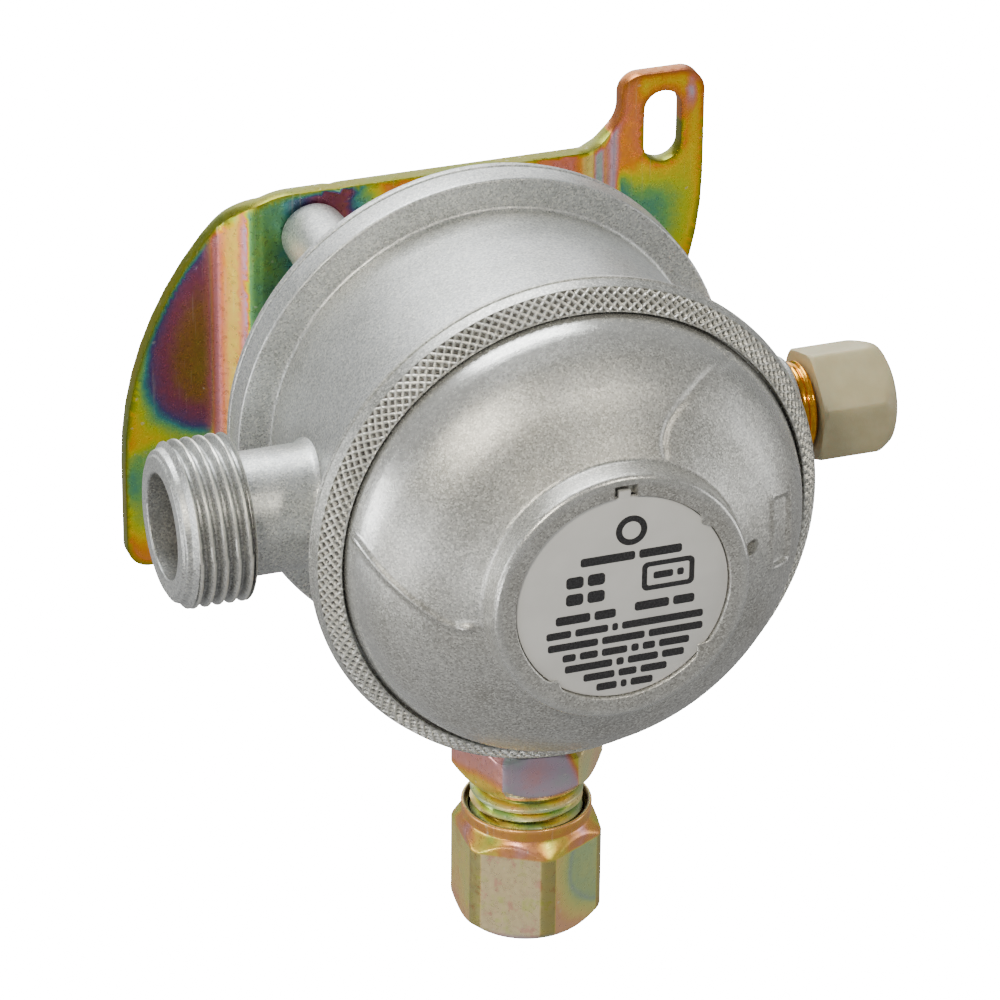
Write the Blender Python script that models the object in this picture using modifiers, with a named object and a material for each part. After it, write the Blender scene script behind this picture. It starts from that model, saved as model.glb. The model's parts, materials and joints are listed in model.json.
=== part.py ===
"""Wall-mounted two-stage low-pressure gas regulator, as the pieces it comes apart into.

Frame: +Z up, +Y into the wall, origin where the regulator's own axis meets the wall.
The inlet points to -X, the test point to +X and the outlet to -Z.
Every length below is in millimetres; MM turns it into Blender's metres.
"""

from math import acos, atan2, cos, degrees, pi, radians, sin, tan

import bmesh
import bpy
from mathutils import Matrix, Vector

MM = 0.001
GAP = 0.3  # clearance kept between pieces that lie against each other

# ---- Driving dimensions -----------------------------------------------------------------

# Round body, along its own axis (y is measured from the wall, so the front is negative)
RIM_R, RIM_KNURL_R, RIM_LIP_R = 31.4, 30.9, 28.9
RIM_Y, RIM_CONE, RIM_REAR, RIM_FOOT = -61.4, 2.1, 4.2, 8.4  # the last three are behind RIM_Y
DRUM_R_FRONT, DRUM_R_REAR = 28.0, 27.2
FLANGE_R, FLANGE_Y, FLANGE_REAR_Y = 31.2, -29.4, -25.7
CHAMBER_R = 25.5
CHAMBER_DEPTH = 9.0  # from the floor to the seat that the diaphragm lies on
FRONT_FLOOR_Y, REAR_FLOOR_Y = -47.4, -36.0
FRONT_RECESS_R, REAR_RECESS_R = 29.6, 29.8

# Front cover
BOSS_R, BOSS_Y = 15.6, -77.2
LABEL_R, LABEL_RECESS, LABEL_THICK = 13.0, 1.35, 0.6
NOTCH_W, NOTCH_R = 3.1, 14.6
LABEL_TAB_W, LABEL_TAB_R = 1.4, 13.7
FRONT_TOWER_R = 11.0
COVER_WALL = 1.8
BREATHER_AT, BREATHER_R = (17.7, 0, 1.3), 0.9

# Rear cover
POST_X, POST_Z, POST_R, POST_END_Y = 14.2, 15.8, 4.1, -5.7
POST_ROOT_R, POST_ROOT_Y, POST_HOLE_R, POST_HOLE_Y = 4.4, -23.0, 1.9, -17.2
REAR_TOWER_R, REAR_TOWER_BORE, REAR_TOWER_Y = 9.2, 7.2, -9.2
REAR_FLANGE_Y = -24.35

# Ports
INLET_Y, INLET_END, INLET_BORE, INLET_NECK_R = -44.2, -45.1, 6.35, 7.4
INLET_THREAD_R, INLET_PITCH, INLET_TURNS = 10.0, 1.5, 5  # M20 x 1.5
OUTLET_Y, OUTLET_BOSS_R, OUTLET_BOSS_END = -45.7, 9.2, -33.6
TEST_Y, TEST_BOSS_R, TEST_BOSS_END = -39.15, 6.5, 35.2

# Outlet compression fitting for an 8 mm pipe
HEX_AF = 16.8
NIPPLE_HEX_TOP, NIPPLE_HEX_END = -34.2, -40.9
SPIGOT_R, SPIGOT_END = 6.95, -53.4  # M14 x 1.5
NUT_TOP, NUT_END, NUT_BORE, NUT_LIP_R = -44.7, -60.5, 7.2, 8.07
PIPE_HOLE_R = 4.3
NIPPLE_TURN, NUT_TURN = 21.2, -1.75  # how far each hexagon is turned, in degrees

# Test point
CAP_AF, CAP_START, CAP_END, CAP_BORE = 13.1, 37.6, 47.8, 4.4
CAP_BORE_END, CAP_TURN = 45.6, -18.1
TEST_SPIGOT_R, TEST_SPIGOT_END = 4.1, 43.3

# Bracket, bent from one sheet; its wings lie on the wall
SHEET = 2.0
JOGGLE, PANEL_HALF, BEND_RUN, BEND_R = 3.4, 21.2, 4.4, 2.2
BRACKET_X = 0.4  # the bracket sits a little to the right of the regulator's axis
EAR_X, EAR_Z, PANEL_Z, EAR_INNER_X = 38.1, 29.1, 21.2, 27.0
SLOT_X, SLOT_Z, SLOT_W, SLOT_L = 32.6, 21.8, 5.0, 9.6
SCREW_HOLE_R = 2.3

# Valve mechanism, the same in both chambers, measured from the chamber's floor
NOZZLE_H, NOZZLE_BORE_R = 5.2, 2.2
POCKET_R, POCKET_DEPTH = 3.0, 1.4
PIN_X, PIN_H, PIN_R, PIN_HOLE_R = -9.0, 1.7, 0.9, 1.0
LEVER_T, LEVER_W = 1.0, 5.8
BLOCK_X0, BLOCK_X1, BLOCK_TOP, BLOCK_W = -23.5, -16.7, 8.0, 9.0
RIB_X0, RIB_X1, RIB_TOP, RIB_IN, RIB_OUT = -13.4, -6.2, 6.9, 3.3, 4.8
PASSAGE_X = 0.5 * (BLOCK_X0 + BLOCK_X1)
DIAPHRAGM_H, DIAPHRAGM_T = CHAMBER_DEPTH + GAP, 1.0
PLATE_H, PLATE_R = DIAPHRAGM_H + DIAPHRAGM_T + GAP, 15.0
PLATE_T = 0.8
SEAT_T, ADJUSTER_T = 0.8, 2.2

# Main spring of each stage: mean radius, wire, and where its washer lies above the floor
FRONT_SPRING_R, FRONT_WIRE, FRONT_SEAT_H = 7.8, 1.2, 23.6
REAR_SPRING_R, REAR_WIRE, REAR_SEAT_H = 5.6, 1.4, 20.8
MAIN_COILS = 3
RELIEF_SPRING_R, RELIEF_WIRE, RELIEF_SPRING_H, RELIEF_COILS = 3.4, 0.7, 3.0, 1
STEM_NUT_R, STEM_NUT_H = 3.4, 2.4

ROUND_BIG, ROUND_MID, ROUND_SMALL = 36, 20, 10


# ---- Tools ------------------------------------------------------------------------------

def clear_scene():
    for old in list(bpy.data.objects):
        bpy.data.objects.remove(old, do_unlink=True)


def collection(name, hidden=False):
    group = bpy.data.collections.new(name)
    bpy.context.scene.collection.children.link(group)
    group.hide_render = hidden
    return group


def material(name, colour, roughness, metallic):
    made = bpy.data.materials.new(name)
    made.use_nodes = True
    shader = made.node_tree.nodes["Principled BSDF"]
    shader.inputs["Base Color"].default_value = (*colour, 1.0)
    shader.inputs["Roughness"].default_value = roughness
    shader.inputs["Metallic"].default_value = metallic
    return made


def place(obj, finish):
    """Puts an object among the parts, or among the cutters when it has no finish."""
    if finish is None:
        CUTTERS.objects.link(obj)
        obj.hide_render = True
        obj.display_type = "WIRE"
    else:
        PARTS.objects.link(obj)
        obj.data.materials.append(finish)
        obj.data.shade_smooth()
        obj.data.set_sharp_from_angle(angle=radians(35))
    return obj


def stage_empty(name, floor_y, turn):
    """The frame of one valve mechanism, on its chamber's floor."""
    empty = bpy.data.objects.new(name, None)
    PARTS.objects.link(empty)
    empty.location = (0, floor_y * MM, 0)
    empty.rotation_euler = (0, 0, turn)
    return empty


AIM = {"X": (0.0, pi / 2, 0.0), "Y": (-pi / 2, 0.0, 0.0), "Z": (0.0, 0.0, 0.0)}


def put(obj, at, axis="Z", parent=None):
    """Moves an object to a place in millimetres, with its own Z along the named axis."""
    obj.location = Vector(at) * MM
    obj.rotation_euler = AIM[axis]
    obj.parent = parent
    return obj


def turned(name, finish, profile, steps=ROUND_MID, ring=False, at=(0, 0, 0), axis="Y", parent=None):
    """A turned piece. The profile holds (radius, distance along the axis) pairs."""
    area = 0.0
    for (r0, h0), (r1, h1) in zip(profile, profile[1:] + profile[:1]):
        area += r0 * h1 - r1 * h0
    points = profile if area < 0 else profile[::-1]
    bm = bmesh.new()
    verts = [bm.verts.new((r * MM, 0.0, h * MM)) for r, h in points]
    for a, b in zip(verts, verts[1:] + (verts[:1] if ring else [])):
        bm.edges.new((a, b))
    mesh = bpy.data.meshes.new(name)
    bm.to_mesh(mesh)
    bm.free()
    obj = place(bpy.data.objects.new(name, mesh), finish)
    spin = obj.modifiers.new("turn", "SCREW")
    spin.axis = "Z"
    spin.steps = spin.render_steps = steps
    spin.use_merge_vertices = True
    spin.merge_threshold = 0.00001
    spin.use_smooth_shade = True
    return put(obj, at, axis, parent)


def from_bmesh(name, finish, bm, at=(0, 0, 0), axis="Z", parent=None):
    mesh = bpy.data.meshes.new(name)
    bm.to_mesh(mesh)
    bm.free()
    return put(place(bpy.data.objects.new(name, mesh), finish), at, axis, parent)


def block(name, finish, low, high, parent=None):
    """A box between two corners."""
    bm = bmesh.new()
    bmesh.ops.create_cube(bm, size=1.0)
    size = Vector(high) - Vector(low)
    middle = (Vector(high) + Vector(low)) / 2
    bmesh.ops.scale(bm, vec=size * MM, verts=bm.verts)
    return from_bmesh(name, finish, bm, middle, parent=parent)


def rod(name, finish, radius, start, end, at, axis, sides=ROUND_MID, parent=None, turn=0.0,
        end_radius=None):
    """A round or many-sided bar from start to end along an axis through a point."""
    bm = bmesh.new()
    top = radius if end_radius is None else end_radius
    bmesh.ops.create_cone(
        bm, cap_ends=True, segments=sides, radius1=radius * MM, radius2=top * MM,
        depth=(end - start) * MM,
    )
    bmesh.ops.translate(bm, vec=(0, 0, (start + end) / 2 * MM), verts=bm.verts)
    bmesh.ops.rotate(bm, matrix=turn_matrix(turn), verts=bm.verts)
    return from_bmesh(name, finish, bm, at, axis, parent)


def turn_matrix(angle):
    """A turn about the Z axis by an angle in degrees."""
    return Matrix.Rotation(radians(angle), 3, "Z")


def outline(name, finish, loops, thickness, at=(0, 0, 0), axis="Z", parent=None):
    """A flat piece: its outline and its holes are closed loops of (x, y) points."""
    curve = bpy.data.curves.new(name, "CURVE")
    curve.dimensions = "2D"
    curve.fill_mode = "BOTH"
    curve.extrude = thickness / 2 * MM
    for loop in loops:
        spline = curve.splines.new("POLY")
        spline.points.add(len(loop) - 1)
        for point, (x, y) in zip(spline.points, loop):
            point.co = (x * MM, y * MM, 0.0, 1.0)
        spline.use_cyclic_u = True
    return solid_from_curve(name, finish, curve, at, axis, parent)


def solid_from_curve(name, finish, curve, at=(0, 0, 0), axis="Z", parent=None):
    """Turns a curve into a closed mesh whose caps are welded on."""
    guide = bpy.data.objects.new(name + "_curve", curve)
    bpy.context.scene.collection.objects.link(guide)
    bpy.context.view_layer.update()
    graph = bpy.context.evaluated_depsgraph_get()
    mesh = bpy.data.meshes.new_from_object(guide.evaluated_get(graph))
    bpy.data.objects.remove(guide, do_unlink=True)
    bm = bmesh.new()
    bm.from_mesh(mesh)
    bmesh.ops.remove_doubles(bm, verts=bm.verts, dist=1e-6)
    bmesh.ops.recalc_face_normals(bm, faces=bm.faces)
    bm.to_mesh(mesh)
    bm.free()
    mesh.materials.clear()
    return put(place(bpy.data.objects.new(name, mesh), finish), at, axis, parent)


def combine(obj, other, operation):
    change = obj.modifiers.new(other.name, "BOOLEAN")
    change.operation = operation
    change.solver = "EXACT"
    change.object = other
    return obj


def cut(obj, *cutters):
    for cutter in cutters:
        combine(obj, cutter, "DIFFERENCE")
    return obj


def join(obj, *others):
    for other in others:
        combine(obj, other, "UNION")
    return obj


def rounded(corners, step=12.0):
    """A closed loop through (x, y, radius) corners, each rounded by an arc."""
    loop = []
    for index, (x, y, radius) in enumerate(corners):
        here = Vector((x, y))
        before = Vector(corners[index - 1][:2]) - here
        after = Vector(corners[(index + 1) % len(corners)][:2]) - here
        before.normalize()
        after.normalize()
        half = acos(max(-1.0, min(1.0, before.dot(after)))) / 2
        middle = here + (before + after).normalized() * (radius / sin(half))
        first = here + before * (radius / tan(half)) - middle
        last = here + after * (radius / tan(half)) - middle
        start = atan2(first.y, first.x)
        sweep = (atan2(last.y, last.x) - start + pi) % (2 * pi) - pi
        count = max(2, round(abs(degrees(sweep)) / step))
        for i in range(count + 1):
            angle = start + sweep * i / count
            loop.append((middle.x + radius * cos(angle), middle.y + radius * sin(angle)))
    return loop


def circle(x, y, radius, sides=ROUND_SMALL):
    angles = [2 * pi * i / sides for i in range(sides)]
    return [(x + radius * cos(angle), y + radius * sin(angle)) for angle in angles]


def slot(x, y, width, length):
    """A vertical slot with round ends."""
    r = width / 2
    reach = length / 2 - r
    corners = [
        (x - r, y - reach - r, r * 0.99),
        (x + r, y - reach - r, r * 0.99),
        (x + r, y + reach + r, r * 0.99),
        (x - r, y + reach + r, r * 0.99),
    ]
    return rounded(corners, 22.5)


def coil(name, finish, radius, wire, start, end, turns, parent):
    """A compression spring along Y with one closed turn at each end."""
    per_turn = 9
    closed = wire * 1.1
    total = (turns + 2) * per_turn
    curve = bpy.data.curves.new(name, "CURVE")
    curve.dimensions = "3D"
    curve.bevel_depth = wire / 2 * MM
    curve.bevel_resolution = 2
    curve.use_fill_caps = True
    spline = curve.splines.new("POLY")
    spline.points.add(total)
    low, high = start + wire / 2, end - wire / 2
    for i, point in enumerate(spline.points):
        t = i / per_turn
        if t < 1:
            h = low + closed * t
        elif t > turns + 1:
            h = high - closed * (turns + 2 - t)
        else:
            h = low + closed + (high - low - 2 * closed) * (t - 1) / turns
        angle = 2 * pi * t
        point.co = (radius * cos(angle) * MM, h * MM, radius * sin(angle) * MM, 1.0)
    return solid_from_curve(name, finish, curve, parent=parent)


def hexagon_radius(across_flats):
    return across_flats / 2 / cos(pi / 6)


# ---- Castings ---------------------------------------------------------------------------

def thread_profile(major, pitch, turns, end, direction):
    """Ridges of a screw thread from its free end, as (radius, place along the axis) pairs."""
    depth = 0.6 * pitch
    points = []
    for i in range(turns):
        crest = end + direction * (1.9 + i * pitch)
        points += [(major - depth, crest - direction * 0.5 * pitch), (major, crest)]
    points.append((major - depth, crest + direction * 0.5 * pitch))
    return points


def stage_core(body, prefix, stage):
    """Adds one chamber's nozzle block and lever ribs to the body, with their drillings."""
    root = -0.5  # how far they reach into the floor
    nozzle_block = block(
        prefix + "_nozzle_block", None, (BLOCK_X0, root, -BLOCK_W / 2),
        (BLOCK_X1, BLOCK_TOP, BLOCK_W / 2), stage,
    )
    ribs = [
        block(prefix + "_rib_up", None, (RIB_X0, root, RIB_IN), (RIB_X1, RIB_TOP, RIB_OUT), stage),
        block(prefix + "_rib_down", None, (RIB_X0, root, -RIB_OUT), (RIB_X1, RIB_TOP, -RIB_IN), stage),
    ]
    join(body, nozzle_block, *ribs)
    cut(
        body,
        rod(prefix + "_nozzle_bore", None, NOZZLE_BORE_R, PASSAGE_X - 1, BLOCK_X1 + 1,
            (0, NOZZLE_H, 0), "X", ROUND_SMALL, stage),
        rod(prefix + "_pin_bore", None, PIN_HOLE_R, -RIB_OUT - 1, RIB_OUT + 1,
            (PIN_X, PIN_H, 0), "Z", ROUND_SMALL, stage),
        rod(prefix + "_stem_pocket", None, POCKET_R, -POCKET_DEPTH, 1.0,
            (0, 0, 0), "Y", ROUND_SMALL, stage),
    )


def make_main_body():
    """The cast body: drum, rolled front rim, rear flange, three ports and two chambers."""
    body = turned("main_body", CAST, [
        (0, FLANGE_REAR_Y),
        (FLANGE_R, FLANGE_REAR_Y),
        (FLANGE_R, FLANGE_Y),
        (DRUM_R_REAR + 0.9, FLANGE_Y),
        (DRUM_R_REAR, FLANGE_Y - 0.9),
        (DRUM_R_FRONT, RIM_Y + RIM_FOOT + 0.8),
        (DRUM_R_FRONT + 0.6, RIM_Y + RIM_FOOT),
        (RIM_R - 0.3, RIM_Y + RIM_REAR),
        (RIM_R, RIM_Y + RIM_REAR - 0.3),
        (RIM_KNURL_R, RIM_Y + RIM_CONE),
        (RIM_LIP_R, RIM_Y),
        (0, RIM_Y),
    ], ROUND_BIG)
    inlet = turned("inlet_branch", None, [
        (0, -20.0),
        (INLET_NECK_R + 1.6, -20.0),
        (INLET_NECK_R + 1.6, -DRUM_R_FRONT + 0.4),
        (INLET_NECK_R, -DRUM_R_FRONT - 2.2),
        (INLET_NECK_R, -36.6),
        *thread_profile(INLET_THREAD_R, INLET_PITCH, INLET_TURNS, INLET_END, 1)[::-1],
        (INLET_THREAD_R - 1.4, INLET_END),
        (0, INLET_END),
    ], ROUND_MID, at=(0, INLET_Y, 0), axis="X")
    outlet = rod("outlet_boss", None, OUTLET_BOSS_R, OUTLET_BOSS_END, -20.0, (0, OUTLET_Y, 0), "Z")
    test = rod("test_boss", None, TEST_BOSS_R, 20.0, TEST_BOSS_END, (0, TEST_Y, 0), "X")
    join(body, inlet, outlet, test)
    front_seat = FRONT_FLOOR_Y - CHAMBER_DEPTH
    rear_seat = REAR_FLOOR_Y + CHAMBER_DEPTH
    cut(
        body,
        turned("front_chamber", None, [
            (0, RIM_Y - 2), (RIM_LIP_R - 0.3, RIM_Y - 2), (RIM_LIP_R - 0.3, RIM_Y + 0.5),
            (FRONT_RECESS_R, RIM_Y + RIM_CONE), (FRONT_RECESS_R, front_seat),
            (CHAMBER_R, front_seat), (CHAMBER_R, FRONT_FLOOR_Y), (0, FRONT_FLOOR_Y),
        ], ROUND_BIG),
        turned("rear_chamber", None, [
            (0, REAR_FLOOR_Y), (CHAMBER_R, REAR_FLOOR_Y), (CHAMBER_R, rear_seat),
            (REAR_RECESS_R, rear_seat), (REAR_RECESS_R, FLANGE_REAR_Y + 2), (0, FLANGE_REAR_Y + 2),
        ], ROUND_BIG),
    )
    stage_core(body, "front", FRONT_STAGE)
    stage_core(body, "rear", REAR_STAGE)
    cut(
        body,
        # Inlet: socket, filter seat and the passage to the first valve
        turned("inlet_bore", None, [
            (0, INLET_END - 2), (INLET_BORE, INLET_END - 2), (INLET_BORE, -37.0), (4.6, -35.6),
            (4.6, -31.0), (2.0, -30.4), (2.0, PASSAGE_X + 0.4), (0, PASSAGE_X + 0.4),
        ], ROUND_MID, at=(0, INLET_Y, 0), axis="X"),
        rod("first_valve_drilling", None, 1.6, INLET_Y - 1.1, REAR_FLOOR_Y + NOZZLE_H + 0.4,
            (PASSAGE_X, 0, 0), "Y", ROUND_SMALL),
        # From the rear chamber to the second valve
        rod("second_valve_drilling", None, 1.5, FRONT_FLOOR_Y - NOZZLE_H - 0.4, REAR_FLOOR_Y + 1,
            (-PASSAGE_X, 0, 0), "Y", ROUND_SMALL),
        # Outlet, which opens into the front chamber
        rod("outlet_bore", None, 6.9, OUTLET_BOSS_END - 2, -24.4, (0, OUTLET_Y, 0), "Z"),
        rod("outlet_way", None, 4.4, -26.0, -19.5, (0, OUTLET_Y, 0), "Z"),
        # Test point, with its own drilling to the front chamber
        rod("test_bore", None, 5.0, 28.0, TEST_BOSS_END + 2, (0, TEST_Y, 0), "X"),
        rod("test_way", None, 1.4, 23.4, 29.0, (0, TEST_Y, 0), "X", ROUND_SMALL),
        rod("test_drilling", None, 0.8, FRONT_FLOOR_Y - 0.6, TEST_Y, (24.4, 0, 0), "Y", ROUND_SMALL),
    )
    return body


def dome(inset=0.0):
    """The front cover's outer curve from the rim to the boss, moved inwards by an inset."""
    shoulder = [(28.2, 1.9), (28.2, 0.4), (27.6, -2.1), (25.9, -5.1), (22.9, -8.2), (18.0, -11.0)]
    return [(r - inset * 0.75, RIM_Y + y + inset * 0.75) for r, y in shoulder]


def make_front_cover():
    ledge = BOSS_Y + LABEL_RECESS
    flange_front = RIM_Y + 2.0
    flange_rear = RIM_Y + 3.4
    inner = dome(COVER_WALL)
    cover = turned("front_cover", CAST, [
        (FRONT_RECESS_R - GAP, flange_rear),
        (FRONT_RECESS_R - GAP, flange_front),
        *dome(),
        (16.6, RIM_Y - 11.9),
        (BOSS_R + 0.15, RIM_Y - 13.2),
        (BOSS_R, BOSS_Y + 0.4),
        (BOSS_R - 0.4, BOSS_Y),
        (LABEL_R, BOSS_Y),
        (LABEL_R, ledge),
        (FRONT_TOWER_R, ledge),
        (FRONT_TOWER_R, RIM_Y - 9.4),
        *inner[:0:-1],
        (26.6, flange_rear),
    ], ROUND_BIG, ring=True)
    half = NOTCH_W / 2
    cut(
        cover,
        block("label_notch", None, (-half, BOSS_Y - 1, LABEL_R - 1), (half, ledge, NOTCH_R)),
        rod("breather_hole", None, BREATHER_R, BOSS_Y + 2, RIM_Y, BREATHER_AT, "Y", ROUND_SMALL),
    )
    return cover


def make_label_plate():
    """The round plate that closes the front adjuster, with its locating tab."""
    r = LABEL_R - GAP / 2
    half = LABEL_TAB_W / 2
    start = acos(half / r)
    sweep = pi + 2 * start
    sides = 44
    angles = [start - sweep * i / sides for i in range(sides + 1)]
    edge = [(r * cos(angle), r * sin(angle)) for angle in angles]
    tab = [(-half, LABEL_TAB_R), (half, LABEL_TAB_R)]
    middle = BOSS_Y + LABEL_RECESS - GAP - LABEL_THICK / 2
    # Seen along +Y the outline's own axes are X and -Z, so its height is turned over.
    loop = [(x, -z) for x, z in edge + tab]
    return outline("label_plate", LABEL, [loop], LABEL_THICK, (0, middle, 0), "Y")


def make_rear_cover():
    """Rear cover with its spring tower and the four posts that the bracket screws to."""
    inner = REAR_FLANGE_Y + 0.1
    cover = turned("rear_cover", CAST, [
        (0, REAR_TOWER_Y),
        (REAR_TOWER_R - 0.6, REAR_TOWER_Y),
        (REAR_TOWER_R, REAR_TOWER_Y - 0.6),
        (REAR_TOWER_R + 0.5, -16.8),
        (REAR_TOWER_R + 1.5, -17.8),
        (20.5, -17.8),
        (23.0, -18.8),
        (26.4, REAR_FLANGE_Y),
        (FLANGE_R, REAR_FLANGE_Y),
        (FLANGE_R, FLANGE_REAR_Y + GAP),
        (0, FLANGE_REAR_Y + GAP),
    ], ROUND_BIG)
    posts = [(x, z) for x in (-POST_X, POST_X) for z in (-POST_Z, POST_Z)]
    for number, (x, z) in enumerate(posts, 1):
        join(cover, rod("post_%d" % number, None, POST_ROOT_R, POST_ROOT_Y, POST_END_Y, (x, 0, z), "Y",
                        end_radius=POST_R))
    cut(
        cover,
        turned("rear_hollow", None, [
            (0, FLANGE_REAR_Y - 1), (CHAMBER_R - 1.0, FLANGE_REAR_Y - 1), (CHAMBER_R - 1.0, inner),
            (21.6, -20.6), (20.0, -19.8), (REAR_TOWER_BORE, -19.8), (REAR_TOWER_BORE, REAR_TOWER_Y + 2),
            (0, REAR_TOWER_Y + 2),
        ], ROUND_BIG),
    )
    for number, (x, z) in enumerate(posts, 1):
        cut(cover, rod("post_hole_%d" % number, None, POST_HOLE_R, POST_HOLE_Y, POST_END_Y + 2,
                       (x, 0, z), "Y", ROUND_SMALL))
    return cover


# ---- Bracket ----------------------------------------------------------------------------

def bracket_outline():
    """Outer edge of the bracket, the same again after half a turn about Y."""
    half = [
        (EAR_INNER_X, PANEL_Z, 4.0),
        (EAR_INNER_X, EAR_Z, 2.6),
        (EAR_X, EAR_Z, 3.0),
        (EAR_X, -4.4, 46.0),
        (21.3, -PANEL_Z, 10.0),
    ]
    return rounded(half + [(-x, -z, r) for x, z, r in half], 9.0)


def bracket_section():
    """Middle line of the bent sheet, as (x, y) points from its left end to its right end."""
    middle = -JOGGLE - SHEET / 2
    slope = atan2(JOGGLE, BEND_RUN)
    reach = BEND_R * tan(slope / 2)
    arc = [(BEND_R * sin(slope * i / 3), BEND_R * (1 - cos(slope * i / 3))) for i in range(4)]
    inner_x, outer_x = PANEL_HALF - reach, PANEL_HALF + BEND_RUN + reach
    wing = middle + JOGGLE
    right = [(inner_x + along, middle + up) for along, up in arc]
    right += [(outer_x - along, wing - up) for along, up in arc[::-1]]
    right.append((EAR_X + 2, wing))
    return [(-x, y) for x, y in right[::-1]] + right


def make_bracket():
    bm = bmesh.new()
    tall = (EAR_Z + 3) * MM
    low = [bm.verts.new((x * MM, y * MM, -tall)) for x, y in bracket_section()]
    edges = [bm.edges.new(pair) for pair in zip(low, low[1:])]
    made = bmesh.ops.extrude_edge_only(bm, edges=edges)
    raised = [v for v in made["geom"] if isinstance(v, bmesh.types.BMVert)]
    bmesh.ops.translate(bm, vec=(0, 0, 2 * tall), verts=raised)
    bmesh.ops.recalc_face_normals(bm, faces=bm.faces)
    bracket = from_bmesh("bracket", ZINC_YELLOW, bm, (BRACKET_X, 0, 0))
    thick = bracket.modifiers.new("sheet", "SOLIDIFY")
    thick.thickness = SHEET * MM
    thick.offset = 0.0
    thick.use_even_offset = True
    corners = [(x - BRACKET_X, z) for x in (-POST_X, POST_X) for z in (-POST_Z, POST_Z)]
    holes = [circle(x, z, SCREW_HOLE_R) for x, z in corners]
    slots = [slot(SLOT_X, SLOT_Z, SLOT_W, SLOT_L), slot(-SLOT_X, -SLOT_Z, SLOT_W, SLOT_L)]
    loops = [[(x, -z) for x, z in loop] for loop in [bracket_outline(), *holes, *slots]]
    blank = outline("bracket_blank", None, loops, 20.0, (BRACKET_X, 0, 0), "Y")
    return combine(bracket, blank, "INTERSECT")


def make_bracket_screws():
    """Pan-head screws that come through the panel from behind into the posts."""
    head = -JOGGLE + GAP
    number = 0
    for z in (POST_Z, -POST_Z):
        for x in (-POST_X, POST_X):
            number += 1
            screw = turned("bracket_screw_%d" % number, ZINC_BRIGHT, [
                (0, head + 1.9), (1.9, head + 1.9), (3.1, head + 1.1), (3.3, head), (1.6, head),
                (1.6, -15.4), (0.8, -16.6), (0, -16.6),
            ], ROUND_SMALL, at=(x, 0, z))
            cut(screw, rod("screw_drive_%d" % number, None, 1.3, head + 0.9, head + 3, (x, 0, z), "Y", 6))


# ---- Fittings ---------------------------------------------------------------------------

def hex_body(name, finish, across, start, end, at, axis, turn, chamfers):
    """A hexagon bar whose corners are cut off and whose ends are chamfered."""
    bar = rod(name, finish, hexagon_radius(across), start, end, at, axis, 6, turn=turn)
    return combine(bar, turned(name + "_round", None, chamfers, at=at, axis=axis), "INTERSECT")


def make_outlet_fitting():
    corner = hexagon_radius(HEX_AF)
    trim = corner - 0.33
    at = (0, OUTLET_Y, 0)
    nipple = hex_body("outlet_nipple", ZINC_YELLOW, HEX_AF, NIPPLE_HEX_END, NIPPLE_HEX_TOP, at, "Z",
                      NIPPLE_TURN, [
        (0, NIPPLE_HEX_TOP + 1), (trim + 1, NIPPLE_HEX_TOP + 1), (trim + 1, NIPPLE_HEX_END + 2.9),
        (7.2, NIPPLE_HEX_END), (0, NIPPLE_HEX_END),
    ])
    join(nipple, turned("nipple_ends", None, [
        (0, -25.0), (5.8, -25.0), (6.5, -25.7), (6.5, NIPPLE_HEX_TOP - 1), (6.5, NIPPLE_HEX_END + 1),
        (6.1, NIPPLE_HEX_END + 0.5), (6.1, NIPPLE_HEX_END - 1.0), (SPIGOT_R, NIPPLE_HEX_END - 1.6),
        (SPIGOT_R, SPIGOT_END + 0.9), (SPIGOT_R - 0.8, SPIGOT_END), (0, SPIGOT_END),
    ], at=at, axis="Z"))
    cut(nipple, turned("nipple_bore", None, [
        (0, -24.0), (3.2, -24.0), (3.2, -46.6), (4.2, -46.9), (4.2, SPIGOT_END + 2.0), (5.3, SPIGOT_END),
        (5.3, SPIGOT_END - 2), (0, SPIGOT_END - 2),
    ], at=at, axis="Z"))
    turned("outlet_seal_ring", RUBBER, [
        (8.4, OUTLET_BOSS_END - 0.1), (8.4, NIPPLE_HEX_TOP + 0.1), (7.0, NIPPLE_HEX_TOP + 0.1),
        (7.0, OUTLET_BOSS_END - 0.1),
    ], ring=True, at=at, axis="Z")
    turned("olive", BRASS, [
        (4.6, -54.6), (5.9, -55.8), (5.9, -56.4), (4.8, -57.5), (4.1, -57.5), (4.1, -54.6),
    ], ring=True, at=at, axis="Z")
    nut = hex_body("outlet_nut", ZINC_YELLOW, HEX_AF, NUT_END, NUT_TOP, at, "Z", NUT_TURN, [
        (0, NUT_TOP), (NUT_LIP_R, NUT_TOP), (NUT_LIP_R, NUT_TOP - 1.6), (trim, NUT_TOP - 3.6),
        (trim, NUT_END + 1.8), (7.6, NUT_END), (0, NUT_END),
    ])
    cut(nut, turned("nut_bore", None, [
        (0, NUT_TOP + 2), (NUT_BORE + 0.4, NUT_TOP + 2), (NUT_BORE + 0.4, NUT_TOP - 0.2),
        (NUT_BORE, NUT_TOP - 0.7), (NUT_BORE, -55.6), (PIPE_HOLE_R, -58.5), (PIPE_HOLE_R, NUT_END - 2),
        (0, NUT_END - 2),
    ], at=at, axis="Z"))


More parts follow.
